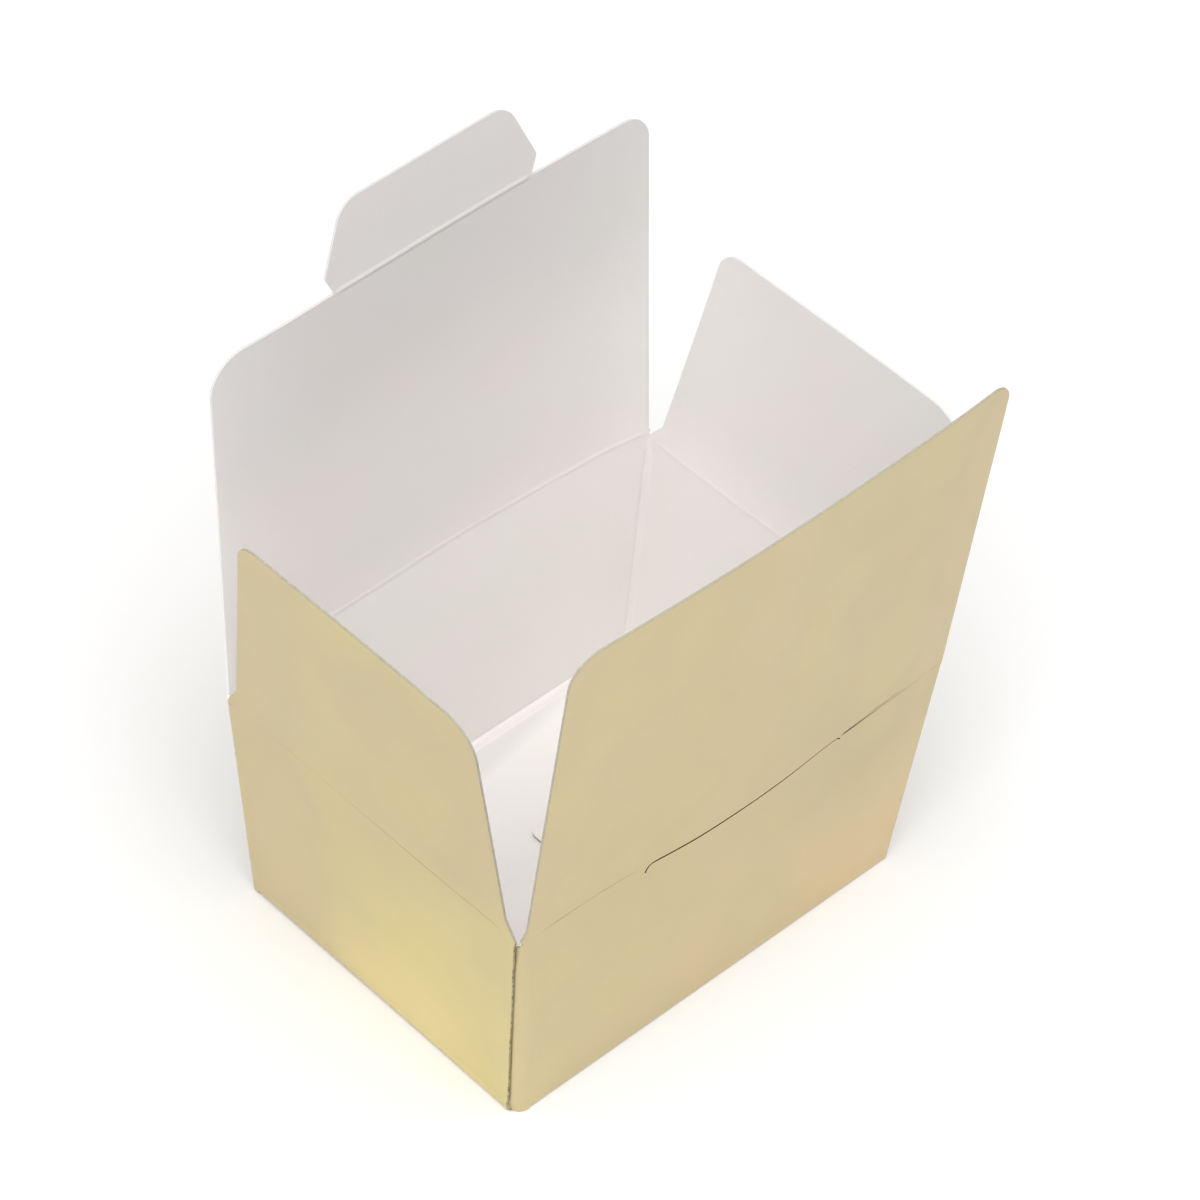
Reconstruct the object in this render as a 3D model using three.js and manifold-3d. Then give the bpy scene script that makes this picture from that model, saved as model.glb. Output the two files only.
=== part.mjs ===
// Candy box: a tapered carton of creased, foil-laminated board, gold outside and white inside, standing open.
// Millimetres, +Z up. Origin: centre of the underside of the base. X runs along the front wall, Y from front to back.
// One blank, glued along the front-left corner and under the base. Each panel between two creases is its own solid,
// and each crease is a narrow strip that joins two panels.
import * as THREE from 'three';
import { mergeVertices } from 'three/addons/utils/BufferGeometryUtils.js';
import Module from 'manifold-3d';

// ---- driving dimensions ----
const T = 0.5;            // board thickness
const BASE_L = 100;       // base, outside, along X
const BASE_W = 75.2;      // base, outside, along Y
const RIM_L = 110;        // rim, outside, along X
const RIM_W = 81.1;       // rim, outside, along Y
const H = 55.9;           // height of the front wall's rim crease
const STEP = 0.65;        // side creases lie one board lower and the back crease one board higher, so flaps stack shut
const GAP = 0.1;          // clearance between a crease strip and its panel
const LAYER = 0.65;       // height of the base's second layer
const R_FOLD = 0.9;       // outer radius of the vertical folds
const R_BASE = 0.8;       // outer radius of the base folds
const HINGE = 0.55;       // distance from a hinge axis to the panels on either side
const LEAN_FRONT = 5.03;  // how far each flap leans outwards from vertical as it stands open, degrees
const LEAN_BACK = 4.82;
const LEAN_LEFT = 6.6;
const LEAN_RIGHT = 5.9;
const LEAN_TAB = 10.8;
const FRONT_FLAP_H = 78.5;  // flap lengths from their hinge axis
const BACK_FLAP_H = 79.5;
const SIDE_FLAP_H = 53.7;
const TAB_H = 17.6;
const LID_HALF = 54.4;      // half width of the front flap, and of the back flap at its hinge
const BACK_TOP_HALF = 54.1; // half width of the back flap at its far edge
const SIDE_HINGE_HALF = 39.4; // half width of a side flap at its hinge
// a side flap's outline at its -u and its +u end: where the slanting foot ends [half width, height], then its far corner [half width, radius]
const SIDE_ENDS = {
  left: { minus: [[36.9, 5.0], [30.7, 5]], plus: [[36.6, 5.0], [30.95, 8]] },
  right: { minus: [[38.0, 5.4], [32.6, 8]], plus: [[37.0, 4.1], [29.9, 5.5]] },
};
const FRONT_R = [6.8, 5];   // rounding of the far corners at the -u and the +u end
const BACK_R = [6.5, 8];
const SLIT_HALF = 26;       // half length of the slit that takes the tuck tab
const SLIT_OPEN = 3.4;      // how far the front flap's cut edge stands from its hinge axis along the slit
const SLIT_HOOK = 2.2;      // depth of the hooked ends of the slit in the front wall
const TAB_ROOT_HALF = 24.6; // tuck tab: half width at its crease, at its ears and at its far edge
const TAB_EAR_HALF = 26.2;
const TAB_EAR_V = 4.8;
const TAB_TOP_HALF = 20.4;
const TAB_R = 6;
const SEAM_TAB_W = 12;      // glue tab inside the left wall

// ---- derived ----
const H_FRONT = H, H_SIDE = H - STEP, H_BACK = H + STEP;
const taperX = (RIM_L - BASE_L) / 2 / H;  // how far a side wall moves out per mm of height
const taperY = (RIM_W - BASE_W) / 2 / H;
const leanX = Math.atan(taperX), leanY = Math.atan(taperY);
const halfX = z => BASE_L / 2 + taperX * z;
const halfY = z => BASE_W / 2 + taperY * z;
const rad = THREE.MathUtils.degToRad;

// ---- materials ----
const gold = new THREE.MeshStandardMaterial({ color: 0xcdbd94, roughness: 0.38, metalness: 0.75 });
const white = new THREE.MeshStandardMaterial({ color: 0xe9e6e1, roughness: 0.8, metalness: 0 });

const box = new THREE.Group();
const wasm = await Module();
wasm.setup();

// ---- booleans ----
function toSolid(geometry, matrix) {
  const g = geometry.clone();
  if (matrix) g.applyMatrix4(matrix);
  g.deleteAttribute('normal');
  g.deleteAttribute('uv');
  const m = mergeVertices(g, 1e-5);
  return new wasm.Manifold(new wasm.Mesh({
    numProp: 3,
    vertProperties: new Float32Array(m.attributes.position.array),
    triVerts: new Uint32Array(m.index.array),
  }));
}
function toGeometry(solid) {
  const m = solid.getMesh();
  const g = new THREE.BufferGeometry();
  g.setAttribute('position', new THREE.BufferAttribute(new Float32Array(m.vertProperties), 3));
  g.setIndex(new THREE.BufferAttribute(new Uint32Array(m.triVerts), 1));
  g.computeVertexNormals();
  return g;
}

// ---- outlines and plates ----
function prism(points, low, high) {
  const g = new THREE.ExtrudeGeometry(new THREE.Shape(points.map(p => new THREE.Vector2(p[0], p[1]))),
    { depth: high - low, bevelEnabled: false });
  g.translate(0, 0, low);
  return g;
}
function add(name, geometry, material, matrix) {
  const mesh = new THREE.Mesh(geometry, material);
  mesh.name = name;
  if (matrix) { matrix.decompose(mesh.position, mesh.quaternion, mesh.scale); mesh.scale.set(1, 1, 1); }
  box.add(mesh);
  return mesh;
}
// a polygon whose corners are given as [x, y] or, rounded, as [x, y, radius]
function rounded(corners, steps = 6) {
  const out = [];
  corners.forEach((c, i) => {
    const r = c[2] || 0;
    if (!r) { out.push([c[0], c[1]]); return; }
    const p = corners[(i + corners.length - 1) % corners.length], n = corners[(i + 1) % corners.length];
    const v = new THREE.Vector2(c[0], c[1]);
    const a = new THREE.Vector2(p[0], p[1]).sub(v).normalize();
    const b = new THREE.Vector2(n[0], n[1]).sub(v).normalize();
    const half = Math.acos(THREE.MathUtils.clamp(a.dot(b), -1, 1)) / 2;
    const t = r / Math.tan(half);
    const centre = v.clone().add(a.clone().add(b).normalize().multiplyScalar(r / Math.sin(half)));
    const start = v.clone().addScaledVector(a, t).sub(centre);
    const end = v.clone().addScaledVector(b, t).sub(centre);
    let turn = Math.atan2(start.x * end.y - start.y * end.x, start.dot(end));
    for (let k = 0; k <= steps; k++) {
      const q = start.clone().rotateAround(new THREE.Vector2(), turn * k / steps).add(centre);
      out.push([q.x, q.y]);
    }
  });
  return out;
}
// a panel's frame: u runs sideways, v up the panel, w along its outward normal; lean is outwards from vertical
const SIDES = {
  front: { u: [1, 0, 0], out: [0, -1, 0] },
  back: { u: [-1, 0, 0], out: [0, 1, 0] },
  left: { u: [0, -1, 0], out: [-1, 0, 0] },
  right: { u: [0, 1, 0], out: [1, 0, 0] },
};
function panelFrame(side, lean, origin) {
  const u = new THREE.Vector3(...SIDES[side].u), out = new THREE.Vector3(...SIDES[side].out);
  const v = out.clone().multiplyScalar(Math.sin(lean)).add(new THREE.Vector3(0, 0, Math.cos(lean)));
  const w = new THREE.Vector3().crossVectors(u, v);
  return new THREE.Matrix4().makeBasis(u, v, w).setPosition(...origin);
}
// the section of a fold between directions a and b, away from the corner at the origin; outer radius r
function foldSection(a, b, r, steps = 4) {
  const va = new THREE.Vector2(...a).normalize(), vb = new THREE.Vector2(...b).normalize();
  const half = Math.acos(va.dot(vb)) / 2;
  const centre = va.clone().add(vb).normalize().multiplyScalar(r / Math.sin(half));
  const start = va.clone().multiplyScalar(r / Math.tan(half)).sub(centre);
  const end = vb.clone().multiplyScalar(r / Math.tan(half)).sub(centre);
  const turn = Math.atan2(start.x * end.y - start.y * end.x, start.dot(end));
  const arc = radius => Array.from({ length: steps + 1 }, (_, k) => {
    const q = start.clone().multiplyScalar(radius / r).rotateAround(new THREE.Vector2(), turn * k / steps).add(centre);
    return [q.x, q.y];
  });
  return [...arc(r), ...arc(r - T).reverse()];
}

// ---- the four walls ----
const wallSpecs = {
  front: { half: halfX, foot: 0, top: H_FRONT, lean: leanY, base: BASE_W / 2 },
  back: { half: halfX, foot: 0, top: H_BACK, lean: leanY, base: BASE_W / 2 },
  left: { half: halfY, foot: LAYER, top: H_SIDE, lean: leanX, base: BASE_L / 2 },
  right: { half: halfY, foot: LAYER, top: H_SIDE, lean: leanX, base: BASE_L / 2 },
};
const wallOrigin = side => SIDES[side].out.map(c => c * wallSpecs[side].base);
const CORNER = R_FOLD + GAP;               // a wall stops this far from a folded corner
const SEAM_SHIFT = T + GAP;                // the seam's tab lies this far inside the left wall's outer face
function wallOutline(side) {
  const s = wallSpecs[side], c = Math.cos(s.lean);
  const low = s.foot / c + R_BASE + GAP, high = s.top / c - HINGE;
  const at = (v, sign) => {
    let margin = CORNER;
    if (side === 'front' && sign < 0) margin = CORNER + SEAM_SHIFT;  // the front wall folds into the seam tab here
    if (side === 'left' && sign > 0) margin = 0.3;                   // the left wall's cut edge at the seam
    return [sign * (s.half(v * c) - margin), v];
  };
  const top = [];
  if (side === 'front') {                  // hooked ends of the slit
    for (const x of [SLIT_HALF, -SLIT_HALF])
      top.push([x + 0.3, high], [x + 0.3, high - SLIT_HOOK], [x - 0.3, high - SLIT_HOOK], [x - 0.3, high]);
  }
  return [at(low, -1), at(low, 1), at(high, 1), ...top, at(high, -1)];
}
for (const side of Object.keys(SIDES))
  add(`${side}_wall`, prism(wallOutline(side), -T, 0), gold, panelFrame(side, wallSpecs[side].lean, wallOrigin(side)));

// ---- vertical folds ----
function verticalFold(name, signX, signY, axes, shiftX = 0) {
  const at = z => new THREE.Vector3(signX * (halfX(z) - shiftX), signY * halfY(z), z);
  const foot = at(1.5), top = at(H_SIDE - 0.9);
  const d = top.clone().sub(foot), length = d.length();
  d.normalize();
  const flat = v => new THREE.Vector3(...v).addScaledVector(d, -new THREE.Vector3(...v).dot(d)).normalize();
  const ex = flat(axes[0]), other = flat(axes[1]);
  const ey = new THREE.Vector3().crossVectors(d, ex);
  const section = foldSection([1, 0], [other.dot(ex), other.dot(ey)], R_FOLD);
  add(name, prism(section, 0, length), gold, new THREE.Matrix4().makeBasis(ex, ey, d).setPosition(foot));
}
verticalFold('front_right_fold', 1, -1, [[0, 1, 0], [-1, 0, 0]]);
verticalFold('back_right_fold', 1, 1, [[-1, 0, 0], [0, -1, 0]]);
verticalFold('back_left_fold', -1, 1, [[0, -1, 0], [1, 0, 0]]);
verticalFold('seam_fold', -1, -1, [[1, 0, 0], [0, 1, 0]], SEAM_SHIFT);

// ---- glue tab of the side seam, inside the left wall ----
{
  const c = Math.cos(leanX), half = v => halfY(v * c);
  const low = 4, high = H_SIDE / c - 3.5;
  const outer = v => half(v) - CORNER - 0.12, inner = v => half(v) - CORNER - SEAM_TAB_W;
  add('seam_tab', prism([[inner(low + 4), low + 4], [outer(low), low], [outer(high), high], [inner(high - 4), high - 4]],
    -SEAM_SHIFT - T, -SEAM_SHIFT), white, panelFrame('left', leanX, wallOrigin('left')));
}

// ---- folds round the base ----
function baseFold(name, side, z, reach) {
  const lean = wallSpecs[side].lean, out = SIDES[side].out;
  const p = new THREE.Vector3(-out[0], -out[1], 0), q = new THREE.Vector3(0, 0, 1);
  const r = new THREE.Vector3().crossVectors(p, q);
  const corner = wallSpecs[side].base + Math.tan(lean) * z;
  const m = new THREE.Matrix4().makeBasis(p, q, r).setPosition(out[0] * corner, out[1] * corner, z);
  add(name, prism(foldSection([1, 0], [-Math.sin(lean), Math.cos(lean)], R_BASE), -reach, reach), gold, m);
}
baseFold('front_base_fold', 'front', 0, 48.9);
baseFold('back_base_fold', 'back', 0, 48.9);
baseFold('left_base_fold', 'left', LAYER, 36.3);
baseFold('right_base_fold', 'right', LAYER, 36.3);

// ---- crash-lock base: front and back flaps interlock, their angled tabs are glued under the side flaps ----
const HINGE_Y = BASE_W / 2 - R_BASE / Math.tan((Math.PI / 2 + leanY) / 2) - GAP;   // where the front and back base flaps start
const HINGE_X = BASE_L / 2 + taperX * LAYER - R_BASE / Math.tan((Math.PI / 2 + leanX) / 2) - GAP;
function plate(points, z = 0) { return toSolid(prism(points, z, z + T)); }
// a tongue: its section along y climbs from the lower layer to the upper one, trimmed to an outline
function tongue(profile, outline) {
  const section = [...profile, ...profile.slice().reverse().map(([y, z]) => [y, z + T])];
  const m = new THREE.Matrix4().makeBasis(new THREE.Vector3(0, 1, 0), new THREE.Vector3(0, 0, 1), new THREE.Vector3(1, 0, 0));
  const climb = toSolid(prism(section, -60, 60), m);
  return climb.intersect(toSolid(prism(outline, -1, 3)));
}
{
  const body = plate([[-49.0, -HINGE_Y], [48.7, -HINGE_Y], [48.2, -14], [40, -1], [30, 1.5], [0, 1.5], [0, 3.4], [-9.2, 3.4],
    [-49.0, -36.4]]);
  const lock = tongue([[-2, 0], [1.4, 0], [4.0, LAYER], [12.5, LAYER]],
    rounded([[0.3, -2], [20.8, -2], [20.8, 12.5, 2], [0.3, 12.5, 1.5]], 3));
  add('front_base_flap', toGeometry(body.add(lock)), white);
}
{
  const body = plate([[49.0, HINGE_Y], [-48.7, HINGE_Y], [-48.2, 20], [-40, 9], [-30, 7.5], [0, 7.5], [0, 4.6], [17.0, 4.6],
    [49.0, 36.4]]);
  const lock = tongue([[11, 0], [7.5, 0], [4.6, LAYER], [-11, LAYER]].reverse(),
    rounded([[-0.3, 11], [-23.1, 11], [-23.1, -11, 2], [-0.3, -11, 1.5]].reverse(), 3));
  add('back_base_flap', toGeometry(body.add(lock)), white);
}
add('front_base_glue_tab', prism([[-48.2, -35.0], [-24.0, -10.8], [-26.0, -4.5], [-42.0, -4.5], [-48.4, -12]], 0, T), white);
add('back_base_glue_tab', prism([[48.2, 35.0], [24.3, 11.1], [26.0, 6.2], [42.0, 6.2], [48.4, 13]], 0, T), white);
for (const [name, s, end] of [['left_base_flap', -1, [23.4, 25]], ['right_base_flap', 1, [21.1, 24]]]) {
  const outline = rounded([[HINGE_X, -36.2], [HINGE_X, 36.2], [45, 35.4], [end[0], end[1], 4], [end[0], -end[1], 4], [45, -35.4]], 3);
  add(name, prism(s > 0 ? outline : outline.map(([x, y]) => [-x, y]), LAYER, LAYER + T), white);
}

// ---- top flaps ----
// hinge axes run through the middle of the board at the rim
const AXIS_FRONT = [0, -(halfY(H_FRONT) - T / 2), H_FRONT];
const AXIS_BACK = [0, halfY(H_BACK) - T / 2, H_BACK];
const AXIS_LEFT = [-(halfX(H_SIDE) - T / 2), 0, H_SIDE];
const AXIS_RIGHT = [halfX(H_SIDE) - T / 2, 0, H_SIDE];
const AXIS_TAB = [0, AXIS_BACK[1] + BACK_FLAP_H * Math.sin(rad(LEAN_BACK)), H_BACK + BACK_FLAP_H * Math.cos(rad(LEAN_BACK))];

add('front_flap', prism(rounded([
  [-LID_HALF, HINGE], [-SLIT_HALF, HINGE], [-SLIT_HALF, SLIT_OPEN], [SLIT_HALF, SLIT_OPEN], [SLIT_HALF, HINGE], [LID_HALF, HINGE],
  [LID_HALF, FRONT_FLAP_H, FRONT_R[1]], [-LID_HALF, FRONT_FLAP_H, FRONT_R[0]]]), -T / 2, T / 2), gold,
panelFrame('front', rad(LEAN_FRONT), AXIS_FRONT));

add('back_flap', prism(rounded([
  [-LID_HALF, HINGE], [LID_HALF, HINGE], [BACK_TOP_HALF, BACK_FLAP_H, BACK_R[1]],
  [TAB_ROOT_HALF + 0.5, BACK_FLAP_H], [TAB_ROOT_HALF + 0.5, BACK_FLAP_H - HINGE],
  [-TAB_ROOT_HALF - 0.5, BACK_FLAP_H - HINGE], [-TAB_ROOT_HALF - 0.5, BACK_FLAP_H],
  [-BACK_TOP_HALF, BACK_FLAP_H, BACK_R[0]]]), -T / 2, T / 2), gold,
panelFrame('back', rad(LEAN_BACK), AXIS_BACK));

add('tuck_tab', prism(rounded([
  [-TAB_ROOT_HALF, HINGE], [TAB_ROOT_HALF, HINGE], [TAB_EAR_HALF, TAB_EAR_V, 2.5], [TAB_TOP_HALF, TAB_H, TAB_R],
  [-TAB_TOP_HALF, TAB_H, TAB_R], [-TAB_EAR_HALF, TAB_EAR_V, 2.5]]), -T / 2, T / 2), gold,
panelFrame('back', rad(LEAN_TAB), AXIS_TAB));

for (const [side, lean, axis] of [['left', LEAN_LEFT, AXIS_LEFT], ['right', LEAN_RIGHT, AXIS_RIGHT]]) {
  const { minus: [mFoot, mTop], plus: [pFoot, pTop] } = SIDE_ENDS[side];
  add(`${side}_flap`, prism(rounded([
    [-SIDE_HINGE_HALF, HINGE], [SIDE_HINGE_HALF, HINGE], [pFoot[0], pFoot[1], 2],
    [pTop[0], SIDE_FLAP_H, pTop[1]], [-mTop[0], SIDE_FLAP_H, mTop[1]], [-mFoot[0], mFoot[1], 2]]), -T / 2, T / 2), gold,
  panelFrame(side, rad(lean), axis));
}

// ---- rim creases: a bead of pressed board on the inner side, which bends as the flap turns ----
function crease(name, side, lean, axis, from, to) {
  const s = HINGE - GAP;
  const u = new THREE.Vector3(...SIDES[side].u), out = new THREE.Vector3(...SIDES[side].out);
  const v = out.clone().multiplyScalar(Math.sin(lean)).add(new THREE.Vector3(0, 0, Math.cos(lean)));
  const w = new THREE.Vector3().crossVectors(u, v);
  // section in (v, w), extruded along u
  const section = [[-s, -T / 2], [-s * 0.5, -T / 2 - 0.18], [s * 0.5, -T / 2 - 0.18], [s, -T / 2], [s, T / 2], [-s, T / 2]];
  add(name, prism(section, from, to), gold, new THREE.Matrix4().makeBasis(v, w, u).setPosition(...axis));
}
const mid = (wall, flap) => (wall + rad(flap)) / 2;
crease('front_crease_left', 'front', mid(leanY, LEAN_FRONT), AXIS_FRONT, -LID_HALF, -SLIT_HALF - 0.4);
crease('front_crease_right', 'front', mid(leanY, LEAN_FRONT), AXIS_FRONT, SLIT_HALF + 0.4, LID_HALF);
crease('back_crease', 'back', mid(leanY, LEAN_BACK), AXIS_BACK, -LID_HALF, LID_HALF);
crease('left_crease', 'left', mid(leanX, LEAN_LEFT), AXIS_LEFT, -SIDE_HINGE_HALF, SIDE_HINGE_HALF);
crease('right_crease', 'right', mid(leanX, LEAN_RIGHT), AXIS_RIGHT, -SIDE_HINGE_HALF, SIDE_HINGE_HALF);
crease('tuck_crease', 'back', rad((LEAN_BACK + LEAN_TAB) / 2), AXIS_TAB, -TAB_ROOT_HALF, TAB_ROOT_HALF);

export default box;
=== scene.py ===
import math
import bmesh
import bpy
import numpy as np
from mathutils import Matrix, Vector


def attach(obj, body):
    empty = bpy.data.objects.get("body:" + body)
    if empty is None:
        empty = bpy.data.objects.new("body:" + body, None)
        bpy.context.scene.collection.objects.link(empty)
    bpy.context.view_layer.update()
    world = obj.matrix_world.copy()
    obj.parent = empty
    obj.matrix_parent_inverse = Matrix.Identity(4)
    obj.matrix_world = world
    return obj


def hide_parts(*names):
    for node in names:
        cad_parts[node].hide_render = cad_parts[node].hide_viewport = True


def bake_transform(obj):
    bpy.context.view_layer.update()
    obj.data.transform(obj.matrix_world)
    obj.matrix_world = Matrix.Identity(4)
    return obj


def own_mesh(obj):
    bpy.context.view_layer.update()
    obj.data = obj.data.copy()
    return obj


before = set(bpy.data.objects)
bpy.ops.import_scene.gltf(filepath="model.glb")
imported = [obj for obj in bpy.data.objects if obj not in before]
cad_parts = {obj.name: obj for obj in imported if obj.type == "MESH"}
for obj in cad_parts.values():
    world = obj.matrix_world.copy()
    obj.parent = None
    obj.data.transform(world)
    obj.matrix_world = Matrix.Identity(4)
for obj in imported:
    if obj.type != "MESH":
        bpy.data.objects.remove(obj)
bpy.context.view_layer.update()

# ------------------------------------------------------------------ sizes, in millimetres, as in the frame
T = 0.5
BASE_L, BASE_W = 100.0, 75.2
RIM_L, RIM_W = 110.0, 81.1
H = 55.9
STEP = 0.65
LAYER = 0.65
TAPER_X = (RIM_L - BASE_L) / 2 / H
TAPER_Y = (RIM_W - BASE_W) / 2 / H
LEAN_X, LEAN_Y = math.atan(TAPER_X), math.atan(TAPER_Y)
R_FOLD = 1.0            # outside radius of the folded corners
R_SEAM = 2.8            # the softer fold beside the seam
SEAM_IN = 0.6           # the seam's tab lies this far inside the left wall's outer face
R_BASE = 0.8
FOLD_END = 1.95         # a folded corner's strip reaches this far along each wall
JOINT = 0.7             # a flap's board starts this far below its crease
FLAP = {
    "front": dict(zc=H, lean=math.radians(5.03), wall=LEAN_Y, high=78.5),
    "back": dict(zc=H + STEP, lean=math.radians(4.82), wall=LEAN_Y, high=79.5),
    "left": dict(zc=H - STEP, lean=math.radians(6.6), wall=LEAN_X, high=53.7),
    "right": dict(zc=H - STEP, lean=math.radians(5.9), wall=LEAN_X, high=53.7),
}
FLAP_R = 6.5            # rounding of the flaps' far corners
TAB_LEAN = math.radians(10.8)
TAB_HIGH = 17.6
SLIT = {-1: 22.0, 1: 24.0}   # how far the slit's straight part reaches either side
HOOK = 2.2              # radius of its hooked ends
SLIT_GAP = 0.15         # the cut's edge above the crease, and half its width at the hooks
WINDOW = 26.0           # half width of the strip of the front flap above the slit
WINDOW_V = 3.4
UDIR = {"front": (1, 0), "back": (-1, 0), "left": (0, -1), "right": (0, 1)}
ODIR = {"front": (0, -1), "back": (0, 1), "left": (-1, 0), "right": (1, 0)}
# where each panel lies on the flat blank, for the grain of the board and foil
BLANK = {"front": 0.0, "right": 95.0, "back": 190.0, "left": 285.0}


def slit_drop(u):
    """How far the slit's lower edge lies below the crease."""
    return 0.36 - 0.14 * (np.asarray(u, float) + 24) / 48


def half_x(z):
    return BASE_L / 2 + TAPER_X * z


def half_y(z):
    return BASE_W / 2 + TAPER_Y * z


def smooth(a, b, x):
    t = np.clip((np.asarray(x, float) - a) / (b - a), 0, 1)
    return t * t * (3 - 2 * t)


def spline(x, xs, ys):
    """Smooth curve through points, by Hermite pieces."""
    xs, ys = np.asarray(xs, float), np.asarray(ys, float)
    m = np.gradient(ys, xs)
    x = np.clip(np.asarray(x, float), xs[0], xs[-1])
    i = np.clip(np.searchsorted(xs, x) - 1, 0, len(xs) - 2)
    w = xs[i + 1] - xs[i]
    t = (x - xs[i]) / w
    return (
        ys[i] * (1 + 2 * t) * (1 - t) ** 2
        + m[i] * w * t * (1 - t) ** 2
        + ys[i + 1] * t * t * (3 - 2 * t)
        + m[i + 1] * w * t * t * (t - 1)
    )


def ripple(x, y, seed, waves):
    """Fixed sum of sine waves between -1 and 1 or so; waves are (wavelength along x, wavelength along y, share)."""
    rng = np.random.RandomState(seed)
    out = np.zeros(np.broadcast(np.asarray(x, float), np.asarray(y, float)).shape)
    for wx, wy, share in waves:
        p, q = rng.uniform(0, 2 * math.pi, 2)
        out = out + share * np.sin(2 * math.pi * np.asarray(x) / wx + p + 0.7 * np.sin(2 * math.pi * np.asarray(y) / wy + q))
    return out


def dashes(u, seed):
    """Strength of a painted shadow line beside a bead, more here and less there."""
    return np.clip(0.55 + 0.75 * ripple(u, 0 * u, seed, [(17, 90, 0.45), (6.3, 90, 0.35), (2.1, 90, 0.35)]), 0.05, 1)


# ------------------------------------------------------------------ how the board bows
RIM_BOW = {
    "front": ([-52, -46.7, -37.6, -28.5, -22.3, -17.5, -12.7, -6, 0, 6, 12.4, 17.7, 23, 28, 33.4, 39.5, 45.9, 52],
              [0, -0.12, 0.0, 0.42, 0.98, 1.46, 1.86, 2.14, 2.26, 2.22, 2.02, 1.7, 1.4, 1.2, 0.98, 0.8, 0.55, 0]),
    "back": ([-53, -46, -36, -24, -12, 0, 12, 24, 36, 46, 53],
             [0, 1.1, 2.0, 2.6, 2.85, 2.95, 2.85, 2.6, 2.0, 1.1, 0]),
    "left": ([-38, -30, -20, -10, 0, 12, 24, 36, 38.5], [0, -0.3, -0.42, -0.38, -0.3, -0.22, -0.2, -0.15, 0]),
    "right": ([-38, -24, -10, 2, 12, 20, 28, 36, 38.5], [0, 0.1, 0.2, 0.1, -0.15, -0.3, -0.4, -0.2, 0]),
}
TOP_BOW = {
    "front": ([-54.4, -40, -20, 0, 20, 40, 54.4], [0, 0.75, 1.45, 1.7, 1.45, 0.75, 0]),
    "back": ([-54.2, -40, -20, 0, 20, 36, 46, 54.2], [0, 0.4, 0.6, 0.35, 0.0, -0.35, -0.3, 0]),
    "left": ([-33, -16, 0, 16, 33], [0, -0.1, -0.2, -0.1, 0]),
    "right": ([-33, -24, -12, 0, 12, 24, 33], [0.45, 0.6, 0.65, 0.5, 0.3, 0.1, 0]),
}
MID_BOW = {"front": 0.0, "back": 0.0, "left": 0.0, "right": 0.45}


def bow(side, u, h):
    """How far the board stands outwards of its flat panel; h is the height up the wall, and on up the flap."""
    u, h = np.asarray(u, float), np.asarray(h, float)
    zc, high = FLAP[side]["zc"], FLAP[side]["high"]
    rim = spline(u, *RIM_BOW[side])
    k = np.clip((h - zc) / high, 0, 1.25)
    up = spline(u, *TOP_BOW[side])
    wall = rim * np.clip(h / zc, 0, 1) ** 1.5
    flap = rim * (1 - np.clip(k, 0, 1)) ** 1.15 + up * k + MID_BOW[side] * np.sin(math.pi * np.clip(k, 0, 1))
    b = np.where(h <= zc, wall, flap)
    edge = 52.0 if side in ("front", "back") else 38.0
    fade = smooth(2.5, 12, h) * (1 - smooth(edge - 14, edge, np.abs(u)) * (1 - smooth(zc + 3, zc + 25, h)))
    size = np.where(h <= zc, 0.16, np.where(h < zc + 12, 0.1, 0.08)) if side in ("front", "back") else 0.08
    seed = {"front": 3, "back": 11, "left": 23, "right": 31}[side]
    return b + fade * size * ripple(u, h, seed, [(71, 55, 0.5), (43, 38, 0.3), (29, 61, 0.2)])


def place(side, u, o, z):
    """Row-frame point, in millimetres, of a place along a side, outwards from the middle, and up."""
    u, o, z = np.broadcast_arrays(np.asarray(u, float), np.asarray(o, float), np.asarray(z, float))
    (ux, uy), (ox, oy) = UDIR[side], ODIR[side]
    return np.stack([ux * u + ox * o, uy * u + oy * o, z], -1)


def wall_at(side, u, z, inner, push=0.0):
    """Point on a wall's outer or inner face at height z."""
    half = half_y(z) if side in ("front", "back") else half_x(z)
    thick = T / math.cos(FLAP[side]["wall"])
    return place(side, u, half - (thick if inner else 0.0) + bow(side, u, z) + push, z)


def panel_at(side, u, v, inner, push=0.0):
    """Point on the board at v from the crease, down the wall where v is negative and up the flap where it is positive."""
    f = FLAP[side]
    zc, lean = f["zc"], f["lean"]
    half = (half_y if side in ("front", "back") else half_x)
    v = np.asarray(v, float)
    zw = zc + v * math.cos(f["wall"])
    down = wall_at(side, u, zw, inner, push)
    sign = -1.0 if inner else 1.0
    o = half(zc) - T / 2 + v * math.sin(lean) + sign * T / 2 * math.cos(lean)
    z = zc + v * math.cos(lean) - sign * T / 2 * math.sin(lean)
    up = place(side, u, o + push * math.cos(lean) + bow(side, u, zc + v), z - push * math.sin(lean))
    return np.where((v <= 0)[..., None] if v.ndim else v <= 0, down, up)


# ------------------------------------------------------------------ the foil's colour from place to place on the blank
def tone_at(s, h):
    """From 0, a pinker gold, to 1, a yellower one."""
    pink = smooth(5, 45, s) * (1 - smooth(60, 100, s)) * (1 - smooth(12, 50, h))
    yellow = smooth(262, 300, s) * (1 - smooth(325, 340, s)) * (0.25 + 0.75 * (1 - smooth(20, 75, h)))
    return np.clip(0.45 - 0.45 * pink + 0.5 * yellow + 0.12 * ripple(s, h, 61, [(63, 47, 0.6), (29, 33, 0.4)]), 0, 1)


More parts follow.
